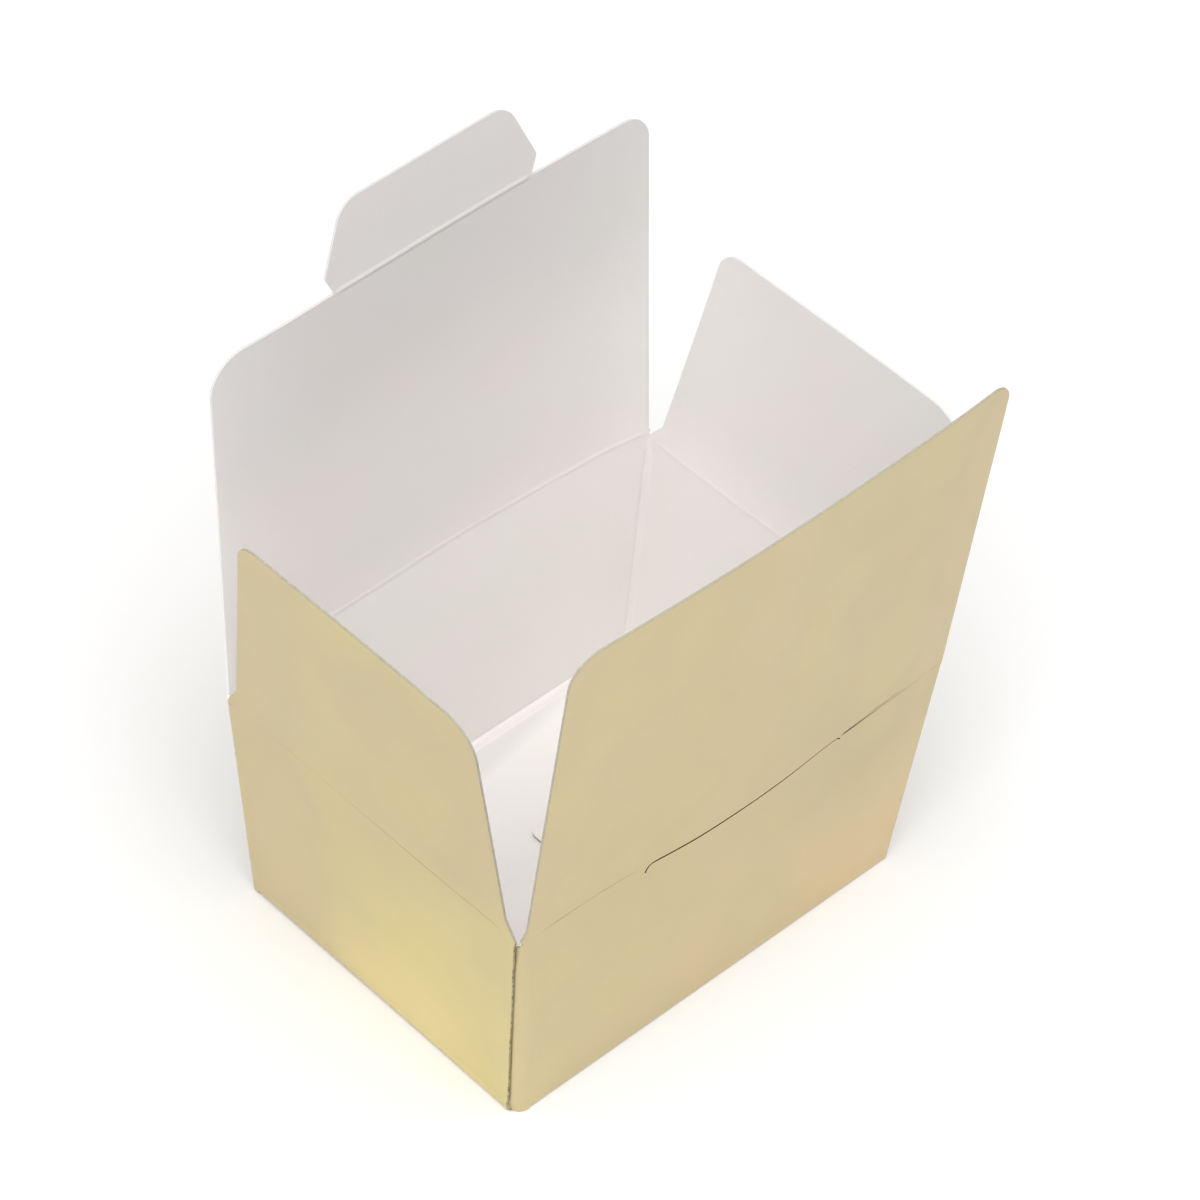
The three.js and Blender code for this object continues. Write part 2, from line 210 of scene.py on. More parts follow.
def painted_light_at(s, h):
    """Painted light and shade on the gold: a little lighter low on the walls, most on the left wall, and darker up the
    flaps, on the left flap and to the front's right.
    """
    right = smooth(8, 36, s) * (1 - smooth(75, 110, s)) * smooth(22, 58, h)
    left = smooth(270, 300, s) * smooth(56, 66, h)
    low = smooth(262, 280, s) * (1 - smooth(296, 316, s)) * (1 - smooth(5, 26, h))
    return np.clip(0.5 - 0.42 * smooth(0, 62, h) - 0.25 * right - 0.14 * left + 0.5 * low, 0, 1)


def painted_shade_at(s, h):
    """Painted shade on the board's inner side: greyer up the flaps, most up the back flap and its tab, and on the right
    flap and on the base.
    """
    right = 0.5 * smooth(52, 58, s) * (1 - smooth(134, 138, s)) * smooth(50, 72, h)
    back = 0.12 * smooth(56, 70, h) + 0.84 * smooth(80, 150, h)
    return np.where(s < 330, np.maximum(back, right), 0.88)


# ------------------------------------------------------------------ mesh builders
def mesh_object(name, verts, faces, mats, uv, smooth_faces=None, wear_and_shade=None, bead_shadow=None):
    me = bpy.data.meshes.new(name)
    me.from_pydata([tuple(c * 0.001 for c in p) for p in verts], [], faces)
    me.polygons.foreach_set("material_index", mats)
    me.polygons.foreach_set("use_smooth", [True] * len(faces) if smooth_faces is None else smooth_faces)
    layer = me.uv_layers.new(name="blank")
    loops = np.zeros(len(me.loops), np.int32)
    me.loops.foreach_get("vertex_index", loops)
    layer.data.foreach_set("uv", (np.asarray(uv, np.float32)[loops] / 100.0).ravel())
    where = np.asarray(uv, float)
    for label, values in (("crease", wear_and_shade), ("bead_shadow", bead_shadow), ("tone", tone_at(where[:, 0], where[:, 1])), ("painted_light", painted_light_at(where[:, 0], where[:, 1])),
                          ("far", painted_shade_at(where[:, 0], where[:, 1]))):
        a = me.attributes.new(label, "FLOAT", "POINT")
        a.data.foreach_set("value", np.zeros(len(verts), np.float32) if values is None else np.asarray(values, np.float32))
    bm = bmesh.new()
    bm.from_mesh(me)
    for e in bm.edges:
        if len(e.link_faces) == 2:
            a, b = e.link_faces
            e.smooth = a.material_index == b.material_index and e.calc_face_angle(0.0) < math.radians(48)
    bm.to_mesh(me)
    bm.free()
    me.update()
    obj = bpy.data.objects.new(name, me)
    bpy.context.scene.collection.objects.link(obj)
    for m in MATERIALS:
        me.materials.append(m)
    return obj


def board(name, outer, inner, uv, mask=None, wear_and_shade=None, end_mat=None, cap=None, bead_shadow=None, raised=None):
    """A closed sheet of board from two matching grids of points, outer (gold) and inner (white), with raw cut edges.
    end_mat(row, col, row, col) may name another material for a cut edge, 6 for one with no foil line; cap(...) False leaves that edge open."""
    rows, cols = outer.shape[:2]
    mask = np.ones((rows - 1, cols - 1), bool) if mask is None else mask
    n = rows * cols
    verts = [*outer.reshape(-1, 3), *inner.reshape(-1, 3)]
    uvs = [*uv.reshape(-1, 2), *uv.reshape(-1, 2)]
    wears_and_shades = [*(wear_and_shade.reshape(-1) if wear_and_shade is not None else [0.0] * n), *(raised.reshape(-1) if raised is not None else [0.0] * n)]
    bead_shadows = [*([0.0] * n), *bead_shadow.reshape(-1)] if bead_shadow is not None else [0.0] * (2 * n)
    # which way the grid turns, seen from outside
    r, c = [int(x) for x in np.argwhere(mask)[len(np.argwhere(mask)) // 2]]
    a, b, d = outer[r, c], outer[r, c + 1], outer[r + 1, c]
    turn = float(np.dot(np.cross(b - a, d - a), outer[r, c] - inner[r, c])) > 0
    faces, mats = [], []

    def vid(i, j):
        return i * cols + j

    for i in range(rows - 1):
        for j in range(cols - 1):
            if not mask[i, j]:
                continue
            q = [vid(i, j), vid(i, j + 1), vid(i + 1, j + 1), vid(i + 1, j)]
            faces.append(tuple(q if turn else q[::-1])); mats.append(0)
            faces.append(tuple((x + n for x in (q[::-1] if turn else q)))); mats.append(1)
    # cut edges: an edge of a kept cell with no kept cell beyond it
    def kept(i, j):
        return 0 <= i < rows - 1 and 0 <= j < cols - 1 and mask[i, j]

    edges, away = [], {}
    for i in range(rows - 1):
        for j in range(cols - 1):
            if not mask[i, j]:
                continue
            centre = (outer[i, j] + outer[i + 1, j + 1] + outer[i, j + 1] + outer[i + 1, j]) / 4
            for (i0, j0), (i1, j1), (ni, nj) in (
                ((i, j), (i, j + 1), (i - 1, j)), ((i, j + 1), (i + 1, j + 1), (i, j + 1)),
                ((i + 1, j + 1), (i + 1, j), (i + 1, j)), ((i + 1, j), (i, j), (i, j - 1)),
            ):
                if kept(ni, nj) or (cap is not None and not cap(i0, j0, i1, j1)):
                    continue
                edges.append((i0, j0, i1, j1))
                mid = (outer[i0, j0] + outer[i1, j1]) / 2
                along = outer[i1, j1] - outer[i0, j0]
                length = np.linalg.norm(along)
                d = mid - centre
                if length > 1e-9:
                    d = d - along * (d @ along) / length ** 2
                d = d / max(np.linalg.norm(d), 1e-9)
                for k in ((i0, j0), (i1, j1)):
                    away[k] = away.get(k, 0) + d
    mids = {}
    for (i, j), d in away.items():
        d = d / max(np.linalg.norm(d), 1e-9) * 0.03
        o, q = outer[i, j], inner[i, j]
        mids[(i, j)] = (len(verts), len(verts) + 1)
        verts += [o + (q - o) * 0.2 + d, o + (q - o) * 0.86 + d]
        uvs += [uv[i, j], uv[i, j] + np.array([0.35, 0.35])]
        wears_and_shades += [0.0, 0.0]
        bead_shadows += [0.0, 0.0]
    for i0, j0, i1, j1 in edges:
        a0, a1, m0, m1 = vid(i0, j0), vid(i1, j1), mids[(i0, j0)], mids[(i1, j1)]
        chain0, chain1 = [a0, m0[0], m0[1], a0 + n], [a1, m1[0], m1[1], a1 + n]
        kind = 2 if end_mat is None else end_mat(i0, j0, i1, j1)
        for k in range(3):
            q = (chain0[k], chain0[k + 1], chain1[k + 1], chain1[k])
            faces.append(q if turn else q[::-1]); mats.append(5 if kind == 2 and k == 0 else 2 if kind == 6 else kind)
    used = sorted({k for f in faces for k in f})
    new = {k: x for x, k in enumerate(used)}
    faces = [tuple(new[k] for k in f) for f in faces]
    return mesh_object(name, [verts[k] for k in used], faces, mats, [uvs[k] for k in used], wear_and_shade=[wears_and_shades[k] for k in used],
                       bead_shadow=[bead_shadows[k] for k in used])


def rounded(corners, steps=10):
    out = []
    n = len(corners)
    for i, c in enumerate(corners):
        r = c[2] if len(c) > 2 else 0
        v = np.array(c[:2], float)
        if not r:
            out.append(tuple(v))
            continue
        a = np.array(corners[i - 1][:2], float) - v
        b = np.array(corners[(i + 1) % n][:2], float) - v
        a, b = a / np.linalg.norm(a), b / np.linalg.norm(b)
        half = math.acos(max(-1, min(1, float(a @ b)))) / 2
        t = r / math.tan(half)
        m = (a + b) / np.linalg.norm(a + b)
        centre = v + m * (r / math.sin(half))
        s, e = v + a * t - centre, v + b * t - centre
        turn = math.atan2(s[0] * e[1] - s[1] * e[0], float(s @ e))
        for k in range(steps + 1):
            q = turn * k / steps
            out.append((centre[0] + s[0] * math.cos(q) - s[1] * math.sin(q), centre[1] + s[0] * math.sin(q) + s[1] * math.cos(q)))
    return out


def plate(bm_points, z, cuts=(), lift=None):
    """Faces of a flat outline, cut along lines of equal y and lifted by lift(x, y): (points, faces, outline edges)."""
    bm = bmesh.new()
    bm.faces.new([bm.verts.new((x, y, 0)) for x, y in bm_points])
    for y in cuts:
        geom = bm.verts[:] + bm.edges[:] + bm.faces[:]
        bmesh.ops.bisect_plane(bm, geom=geom, plane_co=(0, y, 0), plane_no=(0, 1, 0), dist=1e-5)
    bm.normal_update()
    for f in bm.faces:
        if f.normal.z < 0:
            f.normal_flip()
    bm.verts.index_update()
    pts = [(v.co.x, v.co.y, z + (lift(v.co.x, v.co.y) if lift else 0.0)) for v in bm.verts]
    faces = [tuple(v.index for v in f.verts) for f in bm.faces]
    rim = []
    for f in bm.faces:
        for l in f.loops:
            if len(l.edge.link_faces) == 1:
                rim.append((l.vert.index, l.link_loop_next.vert.index))
    bm.free()
    return pts, faces, rim


# ------------------------------------------------------------------ materials
def new_material(name):
    m = bpy.data.materials.new(name)
    m.use_nodes = True
    nt = m.node_tree
    nt.nodes.clear()
    out = nt.nodes.new("ShaderNodeOutputMaterial")
    bsdf = nt.nodes.new("ShaderNodeBsdfPrincipled")
    nt.links.new(bsdf.outputs["BSDF"], out.inputs["Surface"])
    return m, nt, bsdf


def node(nt, kind, **values):
    n = nt.nodes.new(kind)
    for k, v in values.items():
        if k in n.inputs:
            n.inputs[k].default_value = v
        else:
            setattr(n, k, v)
    return n


def lin(r, g, b):
    return tuple(((c / 255) / 12.92 if c / 255 <= 0.04045 else ((c / 255 + 0.055) / 1.055) ** 2.4) for c in (r, g, b)) + (1.0,)


def noise(nt, coords, scale, detail=2.0, rough=0.5, stretch=(1, 1, 1), shift=(0, 0, 0)):
    mp = node(nt, "ShaderNodeMapping")
    mp.inputs["Scale"].default_value = stretch
    mp.inputs["Location"].default_value = shift
    nt.links.new(coords, mp.inputs["Vector"])
    n = node(nt, "ShaderNodeTexNoise", noise_dimensions="3D")
    n.inputs["Scale"].default_value = scale
    n.inputs["Detail"].default_value = detail
    n.inputs["Roughness"].default_value = rough
    nt.links.new(mp.outputs["Vector"], n.inputs["Vector"])
    return n


def ramp(nt, source, stops):
    r = node(nt, "ShaderNodeValToRGB")
    e = r.color_ramp.elements
    while len(e) < len(stops):
        e.new(0.5)
    for k, (p, c) in enumerate(stops):
        e[k].position = p
        e[k].color = c if len(c) == 4 else (*c, 1)
    nt.links.new(source, r.inputs["Fac"])
    return r


def grey(v):
    return (v, v, v, 1)


def mix(nt, fac, a, b, mode="MIX"):
    m = node(nt, "ShaderNodeMix", data_type="RGBA", blend_type=mode)
    if isinstance(fac, (int, float)):
        m.inputs[0].default_value = fac
    else:
        nt.links.new(fac, m.inputs[0])
    for k, v in ((6, a), (7, b)):
        if isinstance(v, tuple):
            m.inputs[k].default_value = v
        else:
            nt.links.new(v, m.inputs[k])
    return m.outputs[2]


def math_node(nt, op, a, b=None):
    m = node(nt, "ShaderNodeMath", operation=op)
    for k, v in ((0, a), (1, b)):
        if v is None:
            continue
        if isinstance(v, (int, float)):
            m.inputs[k].default_value = v
        else:
            nt.links.new(v, m.inputs[k])
    return m.outputs[0]


def attribute(nt, name):
    a = node(nt, "ShaderNodeAttribute", attribute_type="GEOMETRY", attribute_name=name)
    return a.outputs["Fac"]


def gold_foil():
    m, nt, b = new_material("gold_foil_board")
    uv = node(nt, "ShaderNodeUVMap", uv_map="blank").outputs["UV"]
    tint = noise(nt, uv, 5.2, 2.0, 0.5, shift=(0.31, 0.12, 0.0))
    cloud = noise(nt, uv, 9.0, 3.0, 0.55, shift=(3.1, 1.7, 0.4))
    tone = math_node(nt, "ADD", attribute(nt, "tone"), math_node(nt, "MULTIPLY", math_node(nt, "SUBTRACT", tint.outputs["Fac"], 0.5), 0.5))
    base = ramp(nt, tone, [(0.0, GOLD_C), (0.45, GOLD_B), (1.0, GOLD_A)])
    soft = ramp(nt, cloud.outputs["Fac"], [(0.3, grey(0.965)), (0.7, grey(1.0))])
    colour = mix(nt, 1.0, base.outputs["Color"], soft.outputs["Color"], "MULTIPLY")
    # painted light and shade: the gold is scaled lighter low on the walls and darker up the flaps
    low = ramp(nt, attribute(nt, "painted_light"), [(0.0, grey(0.87)), (1.0, grey(1.06))])
    colour = mix(nt, 1.0, colour, low.outputs["Color"], "MULTIPLY")
    # foil darkened along the creases and folds: cracked foil, with painted shade in the pressed grooves
    grain = noise(nt, uv, 260.0, 4.0, 0.65, stretch=(0.5, 1.0, 1.0))
    crack = ramp(nt, grain.outputs["Fac"], [(0.34, grey(0.5)), (0.55, grey(1.0))])
    worn_and_shaded = math_node(nt, "MULTIPLY", attribute(nt, "crease"), crack.outputs["Color"])
    colour = mix(nt, worn_and_shaded, colour, GOLD_CRACK_AND_SHADE)
    nt.links.new(colour, b.inputs["Base Color"])
    b.inputs["Metallic"].default_value = 0.78
    r = ramp(nt, cloud.outputs["Fac"], [(0.25, grey(0.36)), (0.75, grey(0.46))])
    rough = math_node(nt, "ADD", r.outputs["Color"], math_node(nt, "MULTIPLY", worn_and_shaded, 0.25))
    nt.links.new(rough, b.inputs["Roughness"])
    b.inputs["Specular IOR Level"].default_value = 0.5
    # film over board: a fine orange peel with the faint fibre of the board under it
    peel = noise(nt, uv, 95.0, 3.0, 0.6)
    fibre = noise(nt, uv, 520.0, 3.0, 0.7, stretch=(0.35, 1.0, 1.0))
    height = math_node(nt, "ADD", math_node(nt, "MULTIPLY", peel.outputs["Fac"], 0.7), math_node(nt, "MULTIPLY", fibre.outputs["Fac"], 0.3))
    bump = node(nt, "ShaderNodeBump")
    bump.inputs["Strength"].default_value = 0.16
    bump.inputs["Distance"].default_value = 0.00005
    nt.links.new(height, bump.inputs["Height"])
    nt.links.new(bump.outputs["Normal"], b.inputs["Normal"])
    return m


def white_board():
    m, nt, b = new_material("white_board")
    uv = node(nt, "ShaderNodeUVMap", uv_map="blank").outputs["UV"]
    tint = noise(nt, uv, 3.4, 2.0, 0.5, shift=(0.7, 2.3, 0.1))
    base = ramp(nt, tint.outputs["Fac"], [(0.34, WHITE_A), (0.5, WHITE_B), (0.66, WHITE_C)])
    fibres = noise(nt, uv, 420.0, 5.0, 0.7, stretch=(0.4, 1.0, 1.0))
    speck = ramp(nt, fibres.outputs["Fac"], [(0.28, grey(0.965)), (0.55, grey(1.0))])
    colour = mix(nt, 1.0, base.outputs["Color"], speck.outputs["Color"], "MULTIPLY")
    # painted shadow: a darker line beside the pressed beads, broken up by the fibre noise
    shadow_breakup = ramp(nt, fibres.outputs["Fac"], [(0.3, grey(1.0)), (0.6, grey(0.7))])
    colour = mix(nt, math_node(nt, "MULTIPLY", attribute(nt, "bead_shadow"), shadow_breakup.outputs["Color"]), colour, lin(176, 168, 158))
    # painted shade: the white board is greyed up the flaps and tab, on the right flap and on the base
    far = ramp(nt, attribute(nt, "far"), [(0.0, grey(1.0)), (1.0, grey(0.83))])
    colour = mix(nt, 1.0, colour, far.outputs["Color"], "MULTIPLY")
    nt.links.new(colour, b.inputs["Base Color"])
    r = ramp(nt, fibres.outputs["Fac"], [(0.2, grey(0.62)), (0.8, grey(0.78))])
    nt.links.new(r.outputs["Color"], b.inputs["Roughness"])
    b.inputs["Specular IOR Level"].default_value = 0.35
    # the beads of pressed board are rough, with a few torn fibres
    torn = noise(nt, uv, 120.0, 3.0, 0.6, stretch=(0.7, 1.0, 1.0), shift=(4.1, 0.3, 0.0))
    bump = node(nt, "ShaderNodeBump")
    bump.inputs["Strength"].default_value = 0.8
    bump.inputs["Distance"].default_value = 0.0003
    raised = math_node(nt, "MULTIPLY", attribute(nt, "crease"), torn.outputs["Fac"])
    height = math_node(nt, "ADD", math_node(nt, "MULTIPLY", fibres.outputs["Fac"], 0.05), raised)
    nt.links.new(height, bump.inputs["Height"])
    nt.links.new(bump.outputs["Normal"], b.inputs["Normal"])
    return m


def raw_edge(name, low, high, scale):
    m, nt, b = new_material(name)
    uv = node(nt, "ShaderNodeUVMap", uv_map="blank").outputs["UV"]
    f = noise(nt, uv, scale, 5.0, 0.75)
    c = ramp(nt, f.outputs["Fac"], [(0.32, low), (0.66, high)])
    nt.links.new(c.outputs["Color"], b.inputs["Base Color"])
    b.inputs["Roughness"].default_value = 0.9
    b.inputs["Specular IOR Level"].default_value = 0.2
    bump = node(nt, "ShaderNodeBump")
    bump.inputs["Strength"].default_value = 0.5
    bump.inputs["Distance"].default_value = 0.00008
    nt.links.new(f.outputs["Fac"], bump.inputs["Height"])
    nt.links.new(bump.outputs["Normal"], b.inputs["Normal"])
    return m


GOLD_A = lin(225, 211, 152)
GOLD_B = lin(214, 198, 157)
GOLD_C = lin(224, 202, 161)
GOLD_CRACK_AND_SHADE = lin(76, 64, 34)
WHITE_A = lin(249, 247, 243)
WHITE_B = lin(250, 247, 245)
WHITE_C = lin(251, 246, 244)
MATERIALS = [
    gold_foil(),
    white_board(),
    raw_edge("cut_board_edge", lin(168, 161, 143), lin(206, 201, 187), 180.0),
    # the seam's cut edges are darkened: partly the board's core, partly painted shadow of the gap beside the fold
    raw_edge("seam_edge_with_painted_shadow", lin(106, 96, 64), lin(208, 198, 164), 75.0),
    # the slit's cut edges are painted dark: painted shadow in the narrow cut
    raw_edge("slit_edge_with_painted_shadow", lin(58, 46, 22), lin(104, 86, 46), 60.0),
    raw_edge("foil_side_of_cut_edge", lin(150, 144, 124), lin(184, 178, 157), 120.0),
]

# ------------------------------------------------------------------ camera
def camera():
    f, az, el, roll, dist = 5646.5, -46.761, 45.888, 4.582, 1.155374
    target = Vector((0.055186, 0.050295, 0.0))
    a, e, r = math.radians(az), math.radians(el), math.radians(roll)
    back = Vector((math.sin(a) * math.cos(e), -math.cos(a) * math.cos(e), math.sin(e)))
    right = Vector((0, 0, 1)).cross(back).normalized()
    up = back.cross(right)
    x = right * math.cos(r) + up * math.sin(r)
    y = -right * math.sin(r) + up * math.cos(r)
    data = bpy.data.cameras.new("camera")
    data.sensor_width = 36.0
    data.lens = f / 1200 * 36.0
    data.clip_start, data.clip_end = 0.05, 20.0
    cam = bpy.data.objects.new("camera", data)
    bpy.context.scene.collection.objects.link(cam)
    m = Matrix((x, y, back)).transposed().to_4x4()
    m.translation = target + back * dist
    cam.matrix_world = m
    bpy.context.scene.camera = cam


camera()

# ------------------------------------------------------------------ the four walls, their folded corners and the seam
BOTTOM = {"front": 2.2, "back": 2.2, "left": 2.85, "right": 2.85}
SLIT_PLACES = [float(u) for u in np.linspace(-21.2, 23.2, 21)]
FOLD_FOOT = 0.5


def hook_columns(zeta, end):
    """Half-width places of the hooked cut's two sides and of the strip beyond it, for heights above the hook's foot."""
    q = np.clip(zeta, 0, HOOK)
    gap = 0.2 if end < 0 else 0.13
    inside = SLIT[end] + np.sqrt(np.clip((HOOK - gap) ** 2 - q ** 2, 0, None))
    outside = SLIT[end] + np.sqrt(np.clip((HOOK + gap) ** 2 - q ** 2, 0, None))
    beyond = 26.6 - 0.6 * smooth(0, 1.5, q)
    return inside, outside, beyond


def fold_profiles():
    """Outer and inner outline of a folded corner, as (back along the first wall, on along the second), with the bead
    of pressed board that stands inside the fold, and the same without the bead, for the rim."""
    outer = [(FOLD_END, 0), (1.5, 0), (R_FOLD, 0)]
    for k in range(1, 8):
        q = math.radians(90 * k / 8)
        outer.append((R_FOLD * (1 - math.sin(q)), R_FOLD * (1 - math.cos(q))))
    outer += [(0, R_FOLD), (0, 1.5), (0, FOLD_END)]
    bead = [(FOLD_END, T), (1.82, T + 0.0), (1.66, T + 0.06)]
    for k in range(1, 8):
        q = k / 8
        a, b = 1.66 + (T + 0.06 - 1.66) * q, T + 0.06 + (1.66 - T - 0.06) * q
        crown = 0.07 * math.sin(math.pi * q)
        bead.append((a + crown, b + crown))
    bead += [(T + 0.06, 1.66), (T + 0.0, 1.82), (T, FOLD_END)]
    plain = [(FOLD_END, T), (1.5, T), (1.0, T)]
    r = 0.4
    for k in range(1, 8):
        q = math.radians(90 * k / 8)
        plain.append((T + r * (1 - math.sin(q)), T + r * (1 - math.cos(q))))
    plain += [(T, 1.0), (T, 1.5), (T, FOLD_END)]
    return np.array(outer), np.array(bead), np.array(plain)


def seam_radius(z):
    """The fold beside the seam is soft lower down and sharper near the rim."""
    return R_SEAM - 2.1 * smooth(H - 12, H - 2.5, z)


def build_walls():
    outer_f, bead_f, plain_f = fold_profiles()
    cols = []   # (kind, side, data)
    # seam tab, from its free end to the fold
    for k in range(6):
        cols.append(("tab", "left", k / 5))
    for k in range(11):
        cols.append(("seam", "left", k / 10))
    front = [-x for x in (47.5, 44.5, 42, 40)]
    cols.append(("wall", "front", ("left", 0.0)))
    for q in (0.06, 0.14, 0.24, 0.36, 0.5, 0.64, 0.78, 0.9, 1.0):
        cols.append(("wall", "front", ("left", q)))
    for u in (37.5, 35, 32.5, 30, 28.2):
        cols.append(("wall", "front", ("u", -u)))
    for k in (2, 1, 0):
        cols.append(("wall", "front", ("hook", -1, k)))
    for u in SLIT_PLACES:
        cols.append(("wall", "front", ("u", float(u))))
    for k in (0, 1, 2):
        cols.append(("wall", "front", ("hook", 1, k)))
    for u in (28.2, 30, 32.5, 35, 37.5, 40):
        cols.append(("wall", "front", ("u", u)))
    for q in (0.12, 0.25, 0.4, 0.55, 0.7, 0.84):
        cols.append(("wall", "front", ("right", q)))

    def corner(a, b):
        for k in range(len(outer_f)):
            cols.append(("fold", (a, b), k))

    corner("front", "right")
    for q in np.linspace(-1, 1, 33)[1:-1]:
        cols.append(("wall", "right", ("q", float(q))))
    corner("right", "back")
    for q in np.linspace(-1, 1, 45)[1:-1]:
        cols.append(("wall", "back", ("q", float(q))))
    corner("back", "left")
    for q in np.linspace(0, 1, 34)[1:]:
        cols.append(("wall", "left", ("end", float(q))))

    # heights: foot rows for the folded corners, then the wall, then the hooked cut's rows
    main = np.concatenate([np.linspace(0, 1, 24)])
    near = [-2.2, -2.0, -1.75, -1.5, -1.2, -0.95, -JOINT]
    top = [-0.58, -0.45, -0.3, 0.0]
    n_foot = 3
    rows = n_foot + len(main) - 1 + len(near) + len(top)
    C = len(cols)
    outer, inner, uv = np.zeros((rows, C, 3)), np.zeros((rows, C, 3)), np.zeros((rows, C, 2))
    zz = np.zeros((rows, C))
    crease = np.zeros((rows, C))
    nf = len(outer_f)
    r_joint = rows - len(top) - 1
    for c, (kind, side, data) in enumerate(cols):
        if kind == "fold":
            a, b = side
            k = smooth(2, nf - 3, data)
            zc = FLAP[a]["zc"] * (1 - k) + FLAP[b]["zc"] * k
            joint = BOTTOM[a] * (1 - k) + BOTTOM[b] * k
        elif kind == "seam":
            k = smooth(0, 1, data)
            zc = FLAP["left"]["zc"] * (1 - k) + FLAP["front"]["zc"] * k
            joint = 3.0 * (1 - k) + BOTTOM["front"] * k
        elif kind == "tab":
            zc, joint = FLAP["left"]["zc"], 3.0
        else:
            zc, joint = FLAP[side]["zc"], BOTTOM[side]
        z = np.concatenate([np.linspace(FOLD_FOOT, joint, n_foot), joint + (zc - 2.6 - joint) * main[1:], zc + np.array(near), zc + np.array(top)])
        if kind == "tab":
            # the tab's ends are cut at a slant
            lo = 4.0 + 4.0 * (1 - smooth(0, 0.45, data))
            hi = zc - 3.5 - 4.0 * (1 - smooth(0, 0.45, data))
            share = np.clip((z - FOLD_FOOT) / (zc - JOINT - FOLD_FOOT), 0, 1)
            if data > 0.99:
                lo, hi = 2.6, zc - 0.95
            z = lo + (hi - lo) * share
        if kind == "wall" and side == "front" and data[0] == "u":
            z[-2] = zc - float(slit_drop(data[1]))
        elif kind == "wall" and side == "front" and data[0] == "hook":
            z[-2] = zc - float(slit_drop(data[1] * 24))
        if kind == "seam":
            drop = -0.95 * math.sin(math.pi * data) ** 0.6
            z = 0.08 + (z - FOLD_FOOT) * (z[-1] - drop - 0.08) / (z[-1] - FOLD_FOOT)
        if kind == "fold":
            # the web between two flaps stands a little higher than their joints
            web = 0.55 * np.sin(math.pi * np.clip((data - 1) / (nf - 3), 0, 1))
            if b == "back" or a == "back":
                k_web = data if b == "back" else nf - 1 - data
                web = np.interp(k_web, [1, 2, 4, 6, 8, nf - 3, nf - 2], [0, 1.3, 1.15, 0.85, 0.5, 0.25, 0])
            z = FOLD_FOOT + (z - FOLD_FOOT) * (z[r_joint] + web - FOLD_FOOT) / (z[r_joint] - FOLD_FOOT)
        zz[:, c] = z
        hx, hy = half_x(z), half_y(z)
        if kind == "tab":
            y = -(hy - 13.0 + (13.0 - seam_radius(z) - 0.25) * data)
            flat = np.clip(1 - data, 0, 1)
            x_out, x_in = -(hx - SEAM_IN - 0.04 * flat), -(hx - SEAM_IN - T - 0.04 * flat)
            outer[:, c] = np.stack([x_out, y, z], -1)
            inner[:, c] = np.stack([x_in, y, z], -1)
            uv[:, c] = np.stack([-(R_SEAM * 1.57 + 50 + (1 - data) * 10) + 0 * z, z], -1)
        elif kind == "seam":
            q = data * math.pi / 2
            rs = seam_radius(z)
            cx, cy = -(hx - SEAM_IN - rs), -(hy - rs)
            n = np.array([-math.cos(q), -math.sin(q)])
            wob = 0.05 * ripple(z, 0 * z, 5, [(9, 30, 0.6), (4.3, 30, 0.4)]) * math.sin(2 * q)
            outer[:, c] = np.stack([cx + n[0] * (rs + wob), cy + n[1] * (rs + wob), z], -1)
            inner[:, c] = np.stack([cx + n[0] * (rs - T), cy + n[1] * (rs - T), z], -1)
            uv[:, c] = np.stack([-(50.5) - (1 - data) * R_SEAM * 1.57 + 0 * z, z], -1)
        elif kind == "fold":
            a, b = side
            ua, ub = np.array(UDIR[a]), np.array(UDIR[b])
            sx, sy = (ua - ub)
            # outer corner of the two walls
            cxy = np.stack([np.where(True, np.sign(ODIR[a][0] + ODIR[b][0]) * hx, 0), np.sign(ODIR[a][1] + ODIR[b][1]) * hy], -1)
            full = smooth(FOLD_FOOT + 0.2, 4.0, z) * (1 - smooth(zc - 3.2, zc - 1.4, z))
            pa, pb = outer_f[data]
            xy = cxy - pa * ua + pb * ub
            outer[:, c] = np.concatenate([xy, z[:, None]], -1)
            ba, bb = bead_f[data]
            if a == "right":
                # this bead lies more along the right wall than along the back wall
                ba, bb = ba + 0.55 * max(0.0, (ba - 0.57) / 1.1), bb - 0.8 * max(0.0, (bb - 0.57) / 1.1) * (data < nf - 1)
            qa = plain_f[data][0] * (1 - full) + ba * full
            qb = plain_f[data][1] * (1 - full) + bb * full
            jitter = 0.03 * full * ripple(z, 0 * z, 40 + data, [(7, 30, 0.5), (2.6, 30, 0.5)])
            if 2 < data < nf - 3:
                qa, qb = qa + jitter, qb + jitter
            xy = cxy - qa[:, None] * ua + qb[:, None] * ub
            inner[:, c] = np.concatenate([xy, z[:, None]], -1)
            half = 50.0 if a in ("front", "back") else 37.6
            s = BLANK[a] + half - pa + pb
            uv[:, c] = np.stack([s + 0 * z, z], -1)
        else:
            zeta = z - (H - HOOK)
            if data[0] == "left":
                u = -(hx - SEAM_IN - seam_radius(z)) * (1 - data[1]) - 40.0 * data[1]
            elif data[0] == "right":
                u = 40.0 * (1 - data[1]) + (hx - FOLD_END) * data[1]
            elif data[0] == "u":
                u = np.full_like(z, data[1])
            elif data[0] == "hook":
                u = data[1] * hook_columns(zeta, data[1])[data[2]]
            elif data[0] == "q":
                half = (hx if side == "back" else hy) - FOLD_END
                u = data[1] * half
            else:   # the left wall, from the back fold to its cut edge at the seam
